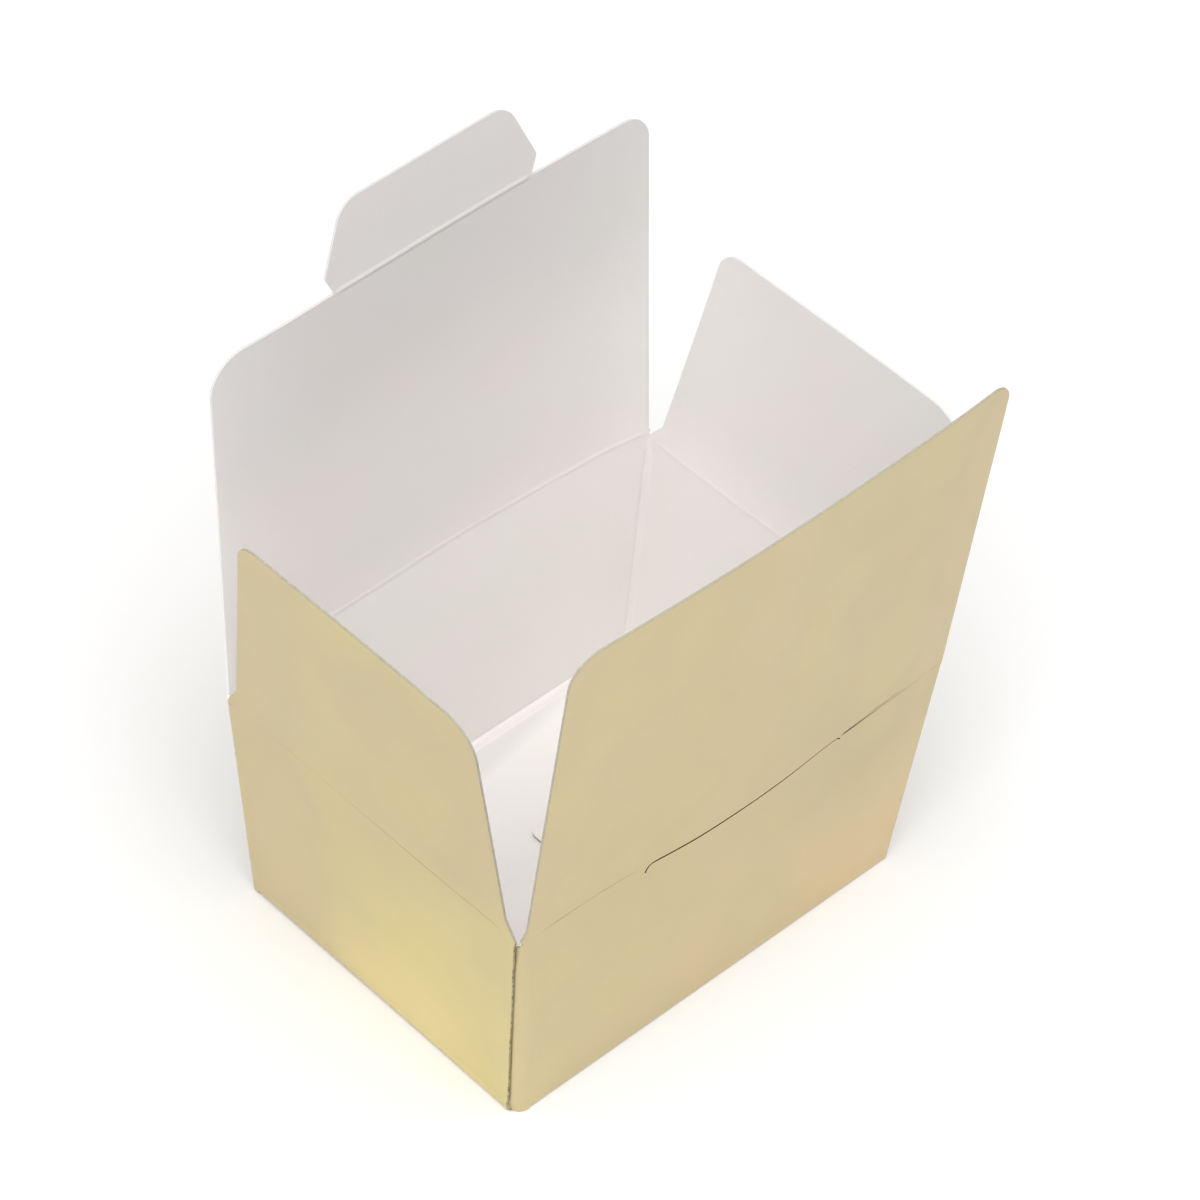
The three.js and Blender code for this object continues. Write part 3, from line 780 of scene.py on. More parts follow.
                # the edge stands back from the corner, and is a little ragged
                back = 1.7 + 0.7 * (1 - z / H)
                ragged = 0.07 * ripple(z, 0 * z, 77, [(11, 30, 0.45), (3.7, 30, 0.3), (1.3, 30, 0.25)])
                far = hy - back + (ragged if data[1] > 0.999 else 0.0)
                u = -(hy - FOLD_END) * (1 - data[1]) + far * data[1]
            push = 0.0 * z
            if side == "front" and data[0] in ("u", "hook") and abs(float(u[-3])) < 25 and (data[0] == "u" or data[2] == 0):
                push = -0.02 * smooth(0, 2.0, zeta)
            if side == "left":
                # the glued wall lifts a little from the tab at the seam
                push = (0.05 + 0.07 * ripple(z, 0 * z, 91, [(23, 30, 0.6), (8, 30, 0.4)])) * smooth(0.9, 1.0, data[1]) * (1 - smooth(H - 9, H - 3.2, z))
            outer[:, c] = wall_at(side, u, z, False, push)
            inner[:, c] = wall_at(side, u, z, True, push)
            uv[:, c] = np.stack([BLANK[side] + u, z], -1)
    r_top = rows - len(top) - 1          # row at the joint with the flaps
    mask = np.ones((rows - 1, C - 1), bool)
    for c in range(C - 1):
        a, b = cols[c], cols[c + 1]
        for r in range(rows - 1):
            if r < n_foot - 1 and a[0] == "wall" and b[0] == "wall":
                mask[r, c] = False
            if r < n_foot - 1 and (a[0] == "wall") != (b[0] == "wall"):
                mask[r, c] = False
            if r >= r_top:
                inside = all(k[0] == "wall" and k[1] == "front" and (k[2][0] == "hook" or (k[2][0] == "u" and abs(k[2][1]) < 24)) for k in (a, b))
                mask[r, c] = inside
                if r == rows - 2 and not (inside and {a[2][0], b[2][0]} == {"hook"} and {a[2][-1], b[2][-1]} == {1, 2}):
                    mask[r, c] = False
            if a[0] == b[0] == "wall" and a[1] == b[1] == "front" and a[2][0] == b[2][0] == "hook" and {a[2][-1], b[2][-1]} == {0, 1}:
                if zz[r, c] > H - HOOK + (1.15 if a[2][1] > 0 else -0.02):
                    mask[r, c] = False
    wear_and_shade = np.zeros((rows, C))
    # painted shadow lines beside the beads: along the flaps' joints on the walls, and beside the folds' beads
    bead_shadow = np.zeros((rows, C))
    for c, (kind, side, data) in enumerate(cols):
        if kind == "wall":
            u_top = outer[r_top, c] @ np.array([*UDIR[side], 0.0])
            bead_shadow[:, c] = (0.12 if side == "back" else 0.18) * dashes(u_top, 60 + len(side)) * np.clip(1 - np.abs(zz[:, c] - (FLAP[side]["zc"] - JOINT)) / 0.2, 0, 1)
        if kind == "fold":
            down = smooth(3.5, 6, zz[:, c]) * (1 - smooth(H - 4, H - 2.4, zz[:, c]))
            edge = 0.1 if data == nf - 2 else 0.05 if data == 1 else 0.0
            bead_shadow[:, c] = edge * down * (0.8 + 0.2 * ripple(zz[:, c], 0 * zz[:, c], 66, [(13, 90, 0.5), (4, 90, 0.5)]))
    # a little wear down the folded corners
    for c, (kind, side, data) in enumerate(cols):
        if kind == "fold":
            mid = abs(data - (nf - 1) / 2) / (nf / 2)
            wear_and_shade[:, c] = 0.22 * max(0.0, 1 - 2.2 * mid)

    def cut(j):
        k = cols[j]
        return k[0] == "wall" and k[1] == "front" and (k[2][0] == "hook" and k[2][2] < 2 or k[2][0] == "u" and abs(k[2][1]) < 24)

    def end_mat(i0, j0, i1, j1):
        # 3: the seam edge with its painted shadow, for the left wall's cut end and the seam tab
        if j0 == C - 1 and j1 == C - 1 or max(j0, j1) < 6:
            return 3
        if all(cols[j][0] in ("fold", "seam") for j in (j0, j1)):
            return 1 if zz[i0, j0] > 30 else 6
        # 4: the slit edge with its painted shadow, along the slit and its hooks
        return 4 if cut(j0) and cut(j1) and min(zz[i0, j0], zz[i1, j1]) > H - HOOK - 0.3 else 2

    return board("box_walls", outer, inner, uv, mask, wear_and_shade, end_mat, bead_shadow=bead_shadow)


walls = build_walls()


# ------------------------------------------------------------------ flaps
CREASE_ROWS = [-JOINT, -0.55, -0.42, -0.32, -0.22, -0.13, -0.05, 0.03, 0.11, 0.2, 0.3, 0.42, 0.53, 0.65, 0.78, 0.92, 1.1, 1.35, 1.8, 2.35, 2.9, WINDOW_V]


def bead(v, height, half=0.72):
    """Ridge of pressed board on the inner side of a crease."""
    x = np.clip(np.abs(v) / half, 0, 1)
    return height * (np.cos(x * math.pi / 2) ** 1.6)


def groove(v, depth, half):
    return depth * np.clip(1 - np.abs(v) / half, 0, 1) ** 1.3


def fine(u, seed, size):
    return 1 + size * ripple(u, 0 * u, seed, [(5.1, 90, 0.4), (2.3, 90, 0.35), (1.1, 90, 0.25)])


FRONT_GROOVE = ([-54.5, -50, -46.5, -42, -34, -28, -26, 26, 27, 30, 33, 37, 42, 47, 52, 54.5],
                [0.01, 0.02, 0.06, 0.10, 0.10, 0.08, 0.04, 0.05, 0.14, 0.15, 0.12, 0.09, 0.06, 0.04, 0.02, 0.0])
# how strongly the front crease is darkened along its length: cracked foil and painted shade of its groove
FRONT_LINE = ([-54.5, -49, -46, -43, -40, -36, -31, -27, 26, 26.8, 28, 31, 33.5, 36, 40, 45, 50, 54.5],
              [0.0, 0.08, 0.3, 0.2, 0.07, 0.14, 0.2, 0.1, 0.3, 1.0, 1.0, 1.0, 0.7, 0.36, 0.22, 0.16, 0.05, 0.0])


def flap_columns(half_top, fixed, n_fixed, extra=()):
    inner_u = sorted(set([float(x) for x in np.linspace(-fixed, fixed, n_fixed)] + list(extra)))
    return [("u", u) for u in inner_u], [0.12, 0.25, 0.38, 0.5, 0.62, 0.73, 0.83, 0.91, 0.96, 1.0]


def column_places(half_minus, half_plus, fixed, inner_u, shares):
    """Sideways places of one row: fixed ones in the middle, and the outer ones shared out up to the outline."""
    minus = fixed + (half_minus - fixed) * np.array(shares)
    plus = fixed + (half_plus - fixed) * np.array(shares)
    return np.concatenate([-minus[::-1], inner_u, plus])


def growing(a, b, first, largest):
    rows, step, v = [], first, a
    while v + step < b - 0.4 * step:
        v += step
        rows.append(v)
        step = min(step * 1.35, largest)
    return rows


def outline_half(points):
    vs = np.array([p[1] for p in points])
    us = np.array([p[0] for p in points])
    order = np.argsort(vs, kind="stable")
    return lambda v: np.interp(v, vs[order], us[order])


def build_flap(side, name, outlines, fixed, inner_u, shares, groove_of, line_of, bead_h, keep_cell=None, extra_rows=(),
               half_line=0.32, grow=(0.0, 0.0), pressed=0.5, twin=None, dark_foot=False, stray=None, rough=1.0):
    """A flap's board from its crease to its far edge. outlines: its half on the minus and on the plus side of the
    middle; grow: how much further than drawn the far edge lies at each end; pressed: how strong the painted shadow line
    along the inner bead is; stray: how far the pressed line strays from the crease; rough: how torn the bead looks."""
    f = FLAP[side]
    arc = sorted(p[1] for outline in outlines for p in outline if p[1] > f["high"] - 9.5)
    feet = sorted(p[1] for outline in outlines for p in outline if 0.3 < p[1] < 9)
    rows = sorted(set(CREASE_ROWS + growing(WINDOW_V, min(arc), 0.6, 2.6) + arc + feet + list(extra_rows)))
    keep = {arc[-1], *extra_rows}
    out = []
    for r in rows:
        if out and r - out[-1] < 0.03:
            if r in keep:
                out[-1] = r
            continue
        out.append(r)
    rows = out
    half = [outline_half(o) for o in outlines]
    v = np.array(rows)
    U = np.stack([column_places(float(half[0](x)), float(half[1](x)), fixed, inner_u, shares) for x in rows])
    drawn = np.broadcast_to(v[:, None], U.shape)
    side_share = np.clip(U / (2 * float(half[0](5.0))) + 0.5, 0, 1)
    V = drawn + (grow[0] * (1 - side_share) + grow[1] * side_share) * smooth(4, f["high"], drawn)
    off = 0.0 * U if stray is None else stray(U)
    g = groove(V - off, groove_of(U), half_line)
    foot = float(half[0](0.0))
    ends = 1 - smooth(foot - 2.2, foot - 0.8, np.abs(U))
    ridge = bead(V, bead_h, 0.9) * fine(U, 7, 0.12) * ends
    raised = bead(V, rough, 0.9) * ends
    outer = panel_at(side, U, V, False, -g)
    inner = panel_at(side, U, V, True, -ridge)
    uv = np.stack([BLANK[side] + U, f["zc"] + V], -1)
    # the crease line on the gold is darkened: cracked foil, with painted shade of its groove
    strong = line_of(U)
    wear_and_shade = strong * np.clip(1.5 - np.abs(V + 0.02 - off) / (0.15 + 0.17 * strong ** 2), 0, 1)
    if twin is not None:
        wear_and_shade = np.maximum(wear_and_shade, twin(U) * np.clip(1.3 - np.abs(V - 0.72 - 0.22 * ripple(U, 0 * U, 8, [(5.3, 90, 0.7), (2.2, 90, 0.4)])) / 0.3, 0, 1))
    # painted shadow line along the foot of the inner bead, stronger here and weaker there
    bead_shadow = pressed * ends * dashes(U, 60 + len(side)) * np.clip(1 - np.abs(V + JOINT) / 0.2, 0, 1)
    mask = None
    if keep_cell is not None:
        mask = np.ones((len(rows) - 1, U.shape[1] - 1), bool)
        for r in range(len(rows) - 1):
            for c in range(U.shape[1] - 1):
                mask[r, c] = keep_cell((rows[r] + rows[r + 1]) / 2, (U[r, c] + U[r, c + 1]) / 2)
    last = U.shape[1] - 1
    # dark_foot: the left flap's foot by the seam takes the seam edge with its painted shadow
    end_mat = (lambda i0, j0, i1, j1: 3 if j0 == last and j1 == last and max(V[i0, j0], V[i1, j1]) < 0.35 else 2) if dark_foot else (lambda *k: 1 if side in ("back", "right") else 2)
    return board(name, outer, inner, uv, mask, wear_and_shade, end_mat, bead_shadow=bead_shadow, raised=raised)


def right_side(corners, steps=12):
    """Half of an outline, from its foot to its far edge."""
    full = rounded(corners + [(-x, y, *r) for x, y, *r in corners[::-1]], steps)
    return [p for p in full if p[0] > 0]


def halves(minus, plus, steps=12):
    return right_side(minus, steps), right_side(plus, steps)


SHARES = [0.12, 0.25, 0.38, 0.5, 0.62, 0.73, 0.83, 0.91, 0.96, 1.0]

# front flap, with the strip above the slit left out of it
front_outline = halves([(54.2, -JOINT), (54.3, 0.1), (54.75, 0.9), (54.7, 1.4), (54.3, 2.2), (53.65, 3.5), (53.95, 78.5, 6.8)], [(54.4, -JOINT), (54.4, 78.5, 5)])
front_u = np.array(sorted(set(SLIT_PLACES + [-22.05, -22.8, 24.05, 24.75] + [s * x for s in (-1, 1) for x in (26.0, 27.0, 28.2, 30, 32.5, 35, 37.5, 40)])))
front_flap = build_flap(
    "front", "front_flap_board", front_outline, 40.0, front_u, SHARES,
    lambda u: spline(u, *FRONT_GROOVE), lambda u: np.clip(spline(u, *FRONT_LINE), 0, 1), 0.2,
    keep_cell=lambda v, u: not (v < WINDOW_V and abs(u) < WINDOW), grow=(0.3, 0.6),
    twin=lambda u: 0.42 * smooth(32.5, 35, u) * (1 - smooth(38, 45, u)),
    stray=lambda u: 0.1 * smooth(26, 32, np.abs(u)) * ripple(u, 0 * u, 19, [(6.1, 90, 0.6), (2.7, 90, 0.4)]),
)


def build_lip():
    """The strip of the front flap along the slit's upper edge."""
    us = front_u[np.abs(front_u) <= WINDOW + 1e-6]
    share = np.array([0, 0.04, 0.1, 0.2, 0.32, 0.46, 0.62, 0.8, 1.0])
    over = (us > -22.06) & (us < 24.06)
    near = (us > -22.81) & (us < 24.76)
    foot = np.where(over, SLIT_GAP, np.where(near, 0.02, 0.0))
    V = foot[None, :] + (WINDOW_V - foot[None, :]) * share[:, None]
    U = np.broadcast_to(us[None, :], V.shape)
    proud = 0.0 * V
    outer = panel_at("front", U, V, False, proud)
    inner = panel_at("front", U, V, True, proud)
    uv = np.stack([BLANK["front"] + U, H + V], -1)
    # the lip's lower edge along the slit takes the slit edge with its painted shadow
    return board("front_slit_lip", outer, inner, uv, end_mat=lambda i0, j0, i1, j1: 4 if i0 == 0 and i1 == 0 else 2)


lip = build_lip()

# back flap: its far edge ends one joint short of the tuck crease along the tab
TAB_ROOT = 24.6
back_high = FLAP["back"]["high"]
back_outline = halves([(54.9, -JOINT), (54.85, -0.1), (54.45, 0.6), (54.1, back_high, 6.5)], [(54.4, -JOINT), (54.1, back_high, 8)])
back_u = np.array(sorted(set([float(x) for x in np.linspace(-22.0, 22.0, 19)] + [s * x for s in (-1, 1) for x in (23.4, TAB_ROOT, 26.2, 28.5, 31, 33.5, 36, 38, 40)])))
back_flap = build_flap(
    "back", "back_flap_board", back_outline, 40.0, back_u, SHARES,
    lambda u: 0.12 + 0 * u, lambda u: 0.35 + 0 * u, 0.035,
    keep_cell=lambda v, u: not (v > back_high - JOINT and abs(u) < TAB_ROOT), extra_rows=(back_high - JOINT,), pressed=0.09, rough=0.6,
)


def build_side(side):
    left = side == "left"
    foot = [(39.4, -JOINT), (39.4, 0.3)]
    if left:
        outline = halves([(39.4, -JOINT), (39.4, 1.3), (36.9, 4.9, 1.0), (30.7, 53.7, 5)], [(38.95, -JOINT), (39.1, 0.3), (38.75, 1.05), (36.55, 5.0, 2.4), (30.95, 53.7, 8)])
    else:
        outline = halves(foot + [(38.0, 5.4, 2), (32.6, 53.7, 8)], [(39.35, -JOINT), (39.3, 1.15), (38.95, 1.65), (37.0, 4.1, 0.9), (29.9, 53.7, 5.5)])
    us = np.linspace(-18, 18, 17)
    return build_flap(
        side, side + "_flap_board", outline, 18.0, us, SHARES,
        (lambda u: (0.03 + 0.07 * smooth(-25, 10, u)) * (1 - 0.85 * smooth(32, 36, u))) if left else (lambda u: 0.12 + 0 * u),
        (lambda u: np.clip((0.03 + 0.22 * smooth(-25, 30, u) + 0.08 * ripple(u, 0 * u, 15, [(31, 90, 0.6), (12, 90, 0.4)])) * (1 - smooth(32, 36.5, u)), 0, 1)) if left else (lambda u: 0.35 + 0 * u),
        0.08 if left else 0.012, pressed=0.18 if left else 0.1, dark_foot=left, rough=1.0 if left else 0.35,
        stray=(lambda u: 0.6 * smooth(12, 36, u)) if left else None,
    )


left_flap = build_side("left")
right_flap = build_side("right")


# ------------------------------------------------------------------ tuck tab
def tab_at(u, v, inner, push=0.0):
    """Point on the tuck tab, and below its crease on the back flap."""
    b = FLAP["back"]
    v = np.asarray(v, float)
    below = panel_at("back", u, b["high"] + np.minimum(v, 0), inner, push)
    sign = -1.0 if inner else 1.0
    o0 = half_y(b["zc"]) - T / 2 + b["high"] * math.sin(b["lean"])
    z0 = b["zc"] + b["high"] * math.cos(b["lean"])
    o = o0 + v * math.sin(TAB_LEAN) + sign * T / 2 * math.cos(TAB_LEAN) + push * math.cos(TAB_LEAN) + bow("back", u, b["zc"] + b["high"])
    z = z0 + v * math.cos(TAB_LEAN) - sign * T / 2 * math.sin(TAB_LEAN) - push * math.sin(TAB_LEAN)
    o = o - 0.12 * np.clip(v / TAB_HIGH, 0, 1) ** 2 * (1 - (np.asarray(u) / 26) ** 2)
    above = place("back", u, o, z)
    return np.where((v <= 0)[..., None], below, above)


def build_tab():
    outline = right_side([(TAB_ROOT, -JOINT), (TAB_ROOT, 0.3), (26.3, 4.0, 1.2), (20.4, TAB_HIGH, 6)], 10)
    half = outline_half(outline)
    pts = sorted(set(p[1] for p in outline if p[1] > 2))
    rows = sorted(set(CREASE_ROWS[:-2] + [2.9] + pts + growing(6.6, 13.0, 1.2, 1.8)))
    rows = [r for k, r in enumerate(rows) if k == 0 or r - rows[k - 1] > 0.012 or r == rows[-1]]
    us = np.linspace(-13.5, 13.5, 13)
    U = np.stack([column_places(float(half(x)), float(half(x)), 13.5, us, SHARES) for x in rows])
    V = np.broadcast_to(np.array(rows)[:, None], U.shape)
    inside = 1 - smooth(23.2, 24.2, np.abs(U))
    rough = fine(U, 51, 0.22) * fine(U * 1.7 + 3, 52, 0.12)
    ridge = bead(V, 0.075, 0.85) * rough * inside
    raised = bead(V, 1.0, 0.85) * inside
    # painted shadow line along the foot of the tuck crease's bead
    bead_shadow = 0.45 * inside * dashes(U * 1.3, 71) * np.clip(1 - np.abs(V + 0.62) / 0.16, 0, 1)
    g = groove(V, 0.16, 0.4) * inside
    outer = tab_at(U, V, False, -g)
    inner = tab_at(U, V, True, -ridge)
    uv = np.stack([BLANK["back"] + U, FLAP["back"]["zc"] + FLAP["back"]["high"] + V], -1)
    # the tuck crease is darkened on the gold: cracked foil, with painted shade of its groove
    wear_and_shade = 0.35 * np.clip(1 - np.abs(V) / 0.2, 0, 1) * inside
    return board("tuck_tab_board", outer, inner, uv, None, wear_and_shade, lambda *k: 1, bead_shadow=bead_shadow, raised=raised)


tab = build_tab()


# ------------------------------------------------------------------ base
def base_strip(side, reach_top, reach_foot, hinge):
    """The fold round the base: (rows of outer points, rows of inner points) across two columns, from the wall to the
    base flap's own edge."""
    lean, z0 = FLAP[side]["wall"], (LAYER if side in ("left", "right") else 0.0)
    base = BASE_W / 2 if side in ("front", "back") else BASE_L / 2
    tan, thick = math.tan(lean), T / math.cos(lean)
    corner = base + tan * z0
    half = (math.pi / 2 + lean) / 2
    t = R_BASE / math.tan(half)
    zj = BOTTOM[side]
    cx, cz = corner - t, z0 + R_BASE      # centre of the outside arc
    outer = [(base + tan * zj, zj), (base + tan * (zj - 0.25), zj - 0.25), (base + tan * (z0 + 1.25), z0 + 1.25)]
    start = math.atan2(t * math.cos(lean) + z0 - cz, corner + t * math.sin(lean) - cx)
    for k in range(0, 9):
        q = start + (-math.pi / 2 - start) * k / 8
        outer.append((cx + R_BASE * math.cos(q), cz + R_BASE * math.sin(q)))
    outer += [(hinge + 0.12, z0), (hinge, z0)]
    # inside: a bead of pressed board lies in the fold
    wall_in = lambda z: base + tan * z - thick
    ci = wall_in(z0 + T)
    leg = 1.18
    top = z0 + T + leg
    inner = [(wall_in(zj), zj), (wall_in(top + 0.2) + 0.0, top + 0.2), (wall_in(top + 0.1) - 0.005, top + 0.1)]
    for k in range(0, 9):
        q = k / 8
        a = np.array([wall_in(top) - 0.05, top - 0.02])
        b = np.array([ci - leg, z0 + T + 0.05])
        p = a + (b - a) * q + np.array([-1, 1]) * 0.07 * math.sin(math.pi * q)
        inner.append(tuple(p))
    inner += [(ci - leg - 0.12, z0 + T), (ci - leg - 0.3, z0 + T)]
    ends = []
    for end in (-1, 1):
        # at the seam the fold stops with the wall
        short = {("front", -1): 1.35, ("left", 1): 0.75}.get((side, end), 0.0)
        other = half_x if side in ("front", "back") else half_y
        top_ends = [float(other(z)) - FOLD_END + 0.03 - short for z in (outer[0][1], outer[2][1])]
        if (side, end) == ("front", -1):
            ends.append(np.interp(np.arange(len(outer)), [0, 2, 4, 8, 11, len(outer) - 1], [*top_ends, 46.8, 46.3, 47.4, reach_foot]))
        else:
            ends.append(np.interp(np.arange(len(outer)), [0, 2, 4, len(outer) - 1], [*top_ends, max(top_ends[1], reach_foot - short), reach_foot]))
    return np.array(outer), np.array(inner), ends, z0


def base_board(name, side, outline, hinge, reach, cuts=(), lift=None, extra=0.0):
    """A base flap with its fold: outline is in the row frame, and starts with the two ends of its hinge edge."""
    outer, inner, half, z0 = base_strip(side, reach - 0.7, reach, hinge)
    # the flap proper starts where the fold's inner bead ends
    inner_end, outer_end = inner[-1][0], outer[-1][0]
    verts, faces, mats, uvs, bead_shadows = [], [], [], [], []

    def add(p, uv, bead_shadow=0.0):
        verts.append(np.asarray(p, float))
        uvs.append(np.asarray(uv, float))
        bead_shadows.append(bead_shadow)
        return len(verts) - 1

    n = len(outer)
    arc = np.concatenate([[0], np.cumsum(np.linalg.norm(np.diff(outer, axis=0), axis=1))])
    grid = {}
    us = [-1, -0.5, 0, 0.5, 1]
    for layer, prof in (("o", outer), ("i", inner)):
        for r in range(n):
            for k, s in enumerate(us):
                o, z = prof[r]
                if r == n - 1:
                    o = outer_end
                    z = z0 if layer == "o" else z0 + T
                u = s * half[0 if s < 0 else 1][r]
                if side == "left" and s > 0:
                    # this fold comes down to the floor towards the seam
                    z -= 0.5 * s ** 2 * float(np.interp(r, [1, 4, 10, n - 1], [0, 1, 1, 0]))
                p = place(side, u, o, z)
                # the inner row next to the fold's bead takes a faint painted shadow line
                grid[layer, r, k] = add(p, (BLANK[side] + u, BOTTOM[side] - arc[r]), 0.1 if layer == "i" and r == n - 2 else 0.0)
    last = len(us) - 1
    for r in range(n - 1):
        for k in range(last):
            q = [grid["o", r, k], grid["o", r + 1, k], grid["o", r + 1, k + 1], grid["o", r, k + 1]]
            faces.append(tuple(q)); mats.append(0)
            q = [grid["i", r, k], grid["i", r, k + 1], grid["i", r + 1, k + 1], grid["i", r + 1, k]]
            faces.append(tuple(q)); mats.append(1)
        for k, flip in ((0, False), (last, True)):
            q = [grid["o", r, k], grid["i", r, k], grid["i", r + 1, k], grid["o", r + 1, k]]
            # the left fold's end by the seam takes the seam edge with its painted shadow
            faces.append(tuple(q[::-1] if flip else q)); mats.append(3 if (side, flip) == ("left", True) else 0 if (side, flip) == ("front", False) else 2)
    for k in range(last):
        faces.append((grid["o", 0, k], grid["o", 0, k + 1], grid["i", 0, k + 1], grid["i", 0, k])); mats.append(2)
    # the flat flap
    pts, fs, rim = plate(outline, z0, cuts, lift)
    first = len(verts)
    for (x, y, z) in pts:
        add((x, y, z), (x * 0.97 + 400, y))
    for (x, y, z) in pts:
        add((x, y, z + T), (x * 0.97 + 400, y))
    m = len(pts)
    for f in fs:
        faces.append(tuple(first + k for k in f[::-1])); mats.append(0)
        faces.append(tuple(first + m + k for k in f)); mats.append(1)
    (ox, oy) = ODIR[side]
    for a, b in rim:
        pa, pb = pts[a], pts[b]
        on_hinge = all(abs(ox * p[0] + oy * p[1] - outer_end) < 1e-4 for p in (pa, pb))
        if on_hinge:
            continue
        faces.append((first + a, first + b, first + m + b, first + m + a)); mats.append(2)
    obj = mesh_object(name, verts, faces, mats, uvs, bead_shadow=bead_shadows)
    bm = bmesh.new()
    bm.from_mesh(obj.data)
    bmesh.ops.remove_doubles(bm, verts=bm.verts, dist=2e-6)
    bmesh.ops.recalc_face_normals(bm, faces=bm.faces)
    for edge in bm.edges:
        if len(edge.link_faces) == 2:
            a, b = edge.link_faces
            edge.smooth = a.material_index == b.material_index and edge.calc_face_angle(0.0) < math.radians(30)
    bm.to_mesh(obj.data)
    bm.free()
    return obj


HINGE_Y = BASE_W / 2 - 2.15
HINGE_X = BASE_L / 2 + TAPER_X * LAYER - 2.15


def hinge_edge(side, points, reach):
    """The outline with its hinge edge given the same five places as the fold's."""
    us = [s * reach for s in (-1, -0.5, 0, 0.5, 1)]
    hinge = HINGE_Y if side in ("front", "back") else HINGE_X
    (ux, uy), (ox, oy) = UDIR[side], ODIR[side]
    return [(ux * u + ox * hinge, uy * u + oy * hinge) for u in us] + points


def climb(y0, y1):
    return lambda y: LAYER * float(smooth(y0, y1, y))


lift_front = climb(1.4, 4.0)
lift_back = lambda y: LAYER * (1 - float(smooth(4.6, 7.5, y)))
front_outline_base = hinge_edge("front", [(48.2, -14), (40, -1), (30, 1.5), (20.8, 1.5)] + rounded([(20.8, 1.5), (20.8, 12.5, 2), (0.3, 12.5, 1.5), (0.3, 1.5)], 5)[1:-1]
                                + [(0.3, 1.5), (0, 1.5), (0, 3.4), (-9.2, 3.4), (-48.7, -36.1)], 48.7)
front_base = base_board("front_base_board", "front", front_outline_base, HINGE_Y, 48.7, cuts=(1.4, 1.9, 2.4, 2.9, 3.4, 4.0),
                        lift=lambda x, y: lift_front(y) if x > 0.15 else 0.0)
back_outline_base = hinge_edge("back", [(-48.2, 20), (-40, 9), (-30, 7.5), (-23.2, 7.5)] + rounded([(-23.2, 7.5), (-23.2, -11, 2), (-0.3, -11, 1.5), (-0.3, 7.5)], 5)[1:-1]
                               + [(-0.3, 7.5), (0, 7.5), (0, 4.6), (17.0, 4.6), (48.7, 36.1)], 48.7)
back_base = base_board("back_base_board", "back", back_outline_base, HINGE_Y, 48.7, cuts=(7.5, 7.0, 6.4, 5.8, 5.2, 4.6),
                       lift=lambda x, y: lift_back(y) if x < -0.15 else 0.0)
right_outline_base = hinge_edge("right", rounded([(HINGE_X, 36.0), (45, 35.2), (21, 24, 4), (21, -24, 4), (45, -35.2), (HINGE_X, -36.0)], 6)[1:-1], 36.0)
right_base = base_board("right_base_board", "right", right_outline_base, HINGE_X, 36.0)
left_base = base_board("left_base_board", "left", hinge_edge("left", [(-x, -y) for x, y in rounded([(HINGE_X, 36.0), (45, 35.2), (23.4, 25, 4), (23.4, -25, 4), (45, -35.2), (HINGE_X, -36.0)], 6)[1:-1]], 36.0), HINGE_X, 36.0)


def glue_tab(name, outline):
    pts, fs, rim = plate(outline, 0.0)
    m = len(pts)
    verts = [np.array(p) for p in pts] + [np.array((x, y, z + T)) for x, y, z in pts]
    uvs = [np.array((p[0] + 600, p[1])) for p in verts]
    faces, mats = [], []
    for f in fs:
        faces.append(tuple(k for k in f[::-1])); mats.append(0)
        faces.append(tuple(m + k for k in f)); mats.append(1)
    for a, b in rim:
        faces.append((a, b, m + b, m + a)); mats.append(2)
    return mesh_object(name, verts, faces, mats, uvs)


front_tab = glue_tab("front_base_glue_board", rounded([(-48.2, -35.0, 0.8), (-24.0, -10.8, 1), (-26.0, -4.5, 2), (-42.0, -4.5, 3), (-48.4, -12, 2)], 4))
back_tab = glue_tab("back_base_glue_board", rounded([(48.2, 35.0, 0.8), (24.3, 11.1, 1), (26.0, 6.2, 2), (42.0, 6.2, 3), (48.4, 13, 2)], 4))

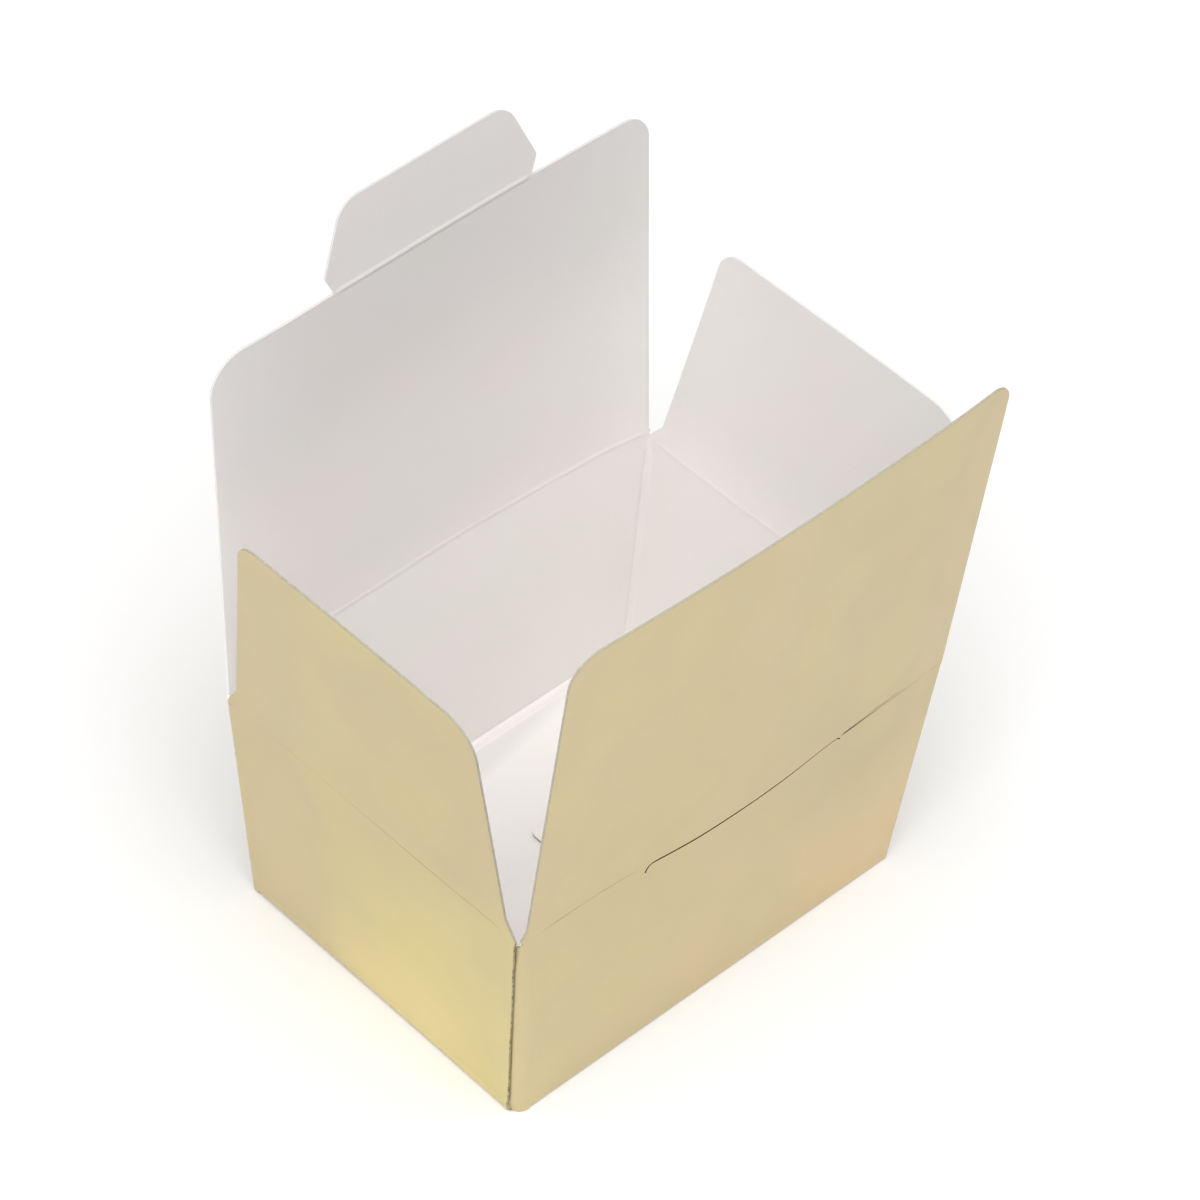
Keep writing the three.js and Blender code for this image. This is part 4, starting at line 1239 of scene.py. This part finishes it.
# ------------------------------------------------------------------ what each piece rides on and stands for
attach(walls, "root")
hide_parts("front_wall", "back_wall", "left_wall", "right_wall", "front_right_fold", "back_right_fold", "back_left_fold", "seam_fold", "seam_tab")
for obj, nodes in (
    (front_base, ("front_base_fold", "front_base_flap")), (back_base, ("back_base_fold", "back_base_flap")),
    (left_base, ("left_base_fold", "left_base_flap")), (right_base, ("right_base_fold", "right_base_flap")),
    (front_tab, ("front_base_glue_tab",)), (back_tab, ("back_base_glue_tab",)),
):
    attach(obj, "root")
    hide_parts(*nodes)
for obj, side, nodes in (
    (front_flap, "front", ("front_flap", "front_crease_left", "front_crease_right")), (back_flap, "back", ("back_flap", "back_crease")),
    (left_flap, "left", ("left_flap", "left_crease")), (right_flap, "right", ("right_flap", "right_crease")),
):
    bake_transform(obj)
    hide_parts(*nodes)
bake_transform(tab)
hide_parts("tuck_tab", "tuck_crease")
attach(lip, "front_flap_body")
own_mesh(lip)


# ------------------------------------------------------------------ floor, light
def floor():
    me = bpy.data.meshes.new("floor")
    bm = bmesh.new()
    bmesh.ops.create_grid(bm, x_segments=4, y_segments=4, size=3.0)
    bm.to_mesh(me)
    bm.free()
    obj = bpy.data.objects.new("floor", me)
    bpy.context.scene.collection.objects.link(obj)
    obj.location.z = -0.00002
    m, nt, b = new_material("studio_floor")
    co = node(nt, "ShaderNodeTexCoord").outputs["Object"]
    n = noise(nt, co, 3.0, 2.0, 0.5)
    c = ramp(nt, n.outputs["Fac"], [(0.3, grey(0.965)), (0.7, grey(0.98))])
    nt.links.new(c.outputs["Color"], b.inputs["Base Color"])
    b.inputs["Roughness"].default_value = 0.9
    b.inputs["Specular IOR Level"].default_value = 0.1
    b.inputs["Emission Color"].default_value = (1, 1, 1, 1)
    b.inputs["Emission Strength"].default_value = 0.1
    me.materials.append(m)


floor()


def area_light(name, place_at, aim, size, power):
    data = bpy.data.lights.new(name, "AREA")
    data.shape = "SQUARE"
    data.size = size
    data.energy = power
    obj = bpy.data.objects.new(name, data)
    bpy.context.scene.collection.objects.link(obj)
    obj.location = place_at
    obj.rotation_euler = (Vector(aim) - Vector(place_at)).to_track_quat("-Z", "Y").to_euler()


area_light("softbox_top", (-0.35, -0.3, 1.5), (0, 0, 0.05), 1.5, 21.0)
area_light("softbox_left", (-1.5, -0.3, 0.5), (0, 0, 0.06), 1.2, 4.4)
area_light("softbox_right", (1.2, -0.4, 1.1), (0, 0, 0.06), 1.2, 3.0)
world = bpy.data.worlds.new("studio")
bpy.context.scene.world = world
world.use_nodes = True
background = world.node_tree.nodes["Background"]
background.inputs["Color"].default_value = (1, 1, 1, 1)
background.inputs["Strength"].default_value = 0.32
bpy.context.scene.view_settings.view_transform = "Standard"
bpy.context.scene.view_settings.look = "None"
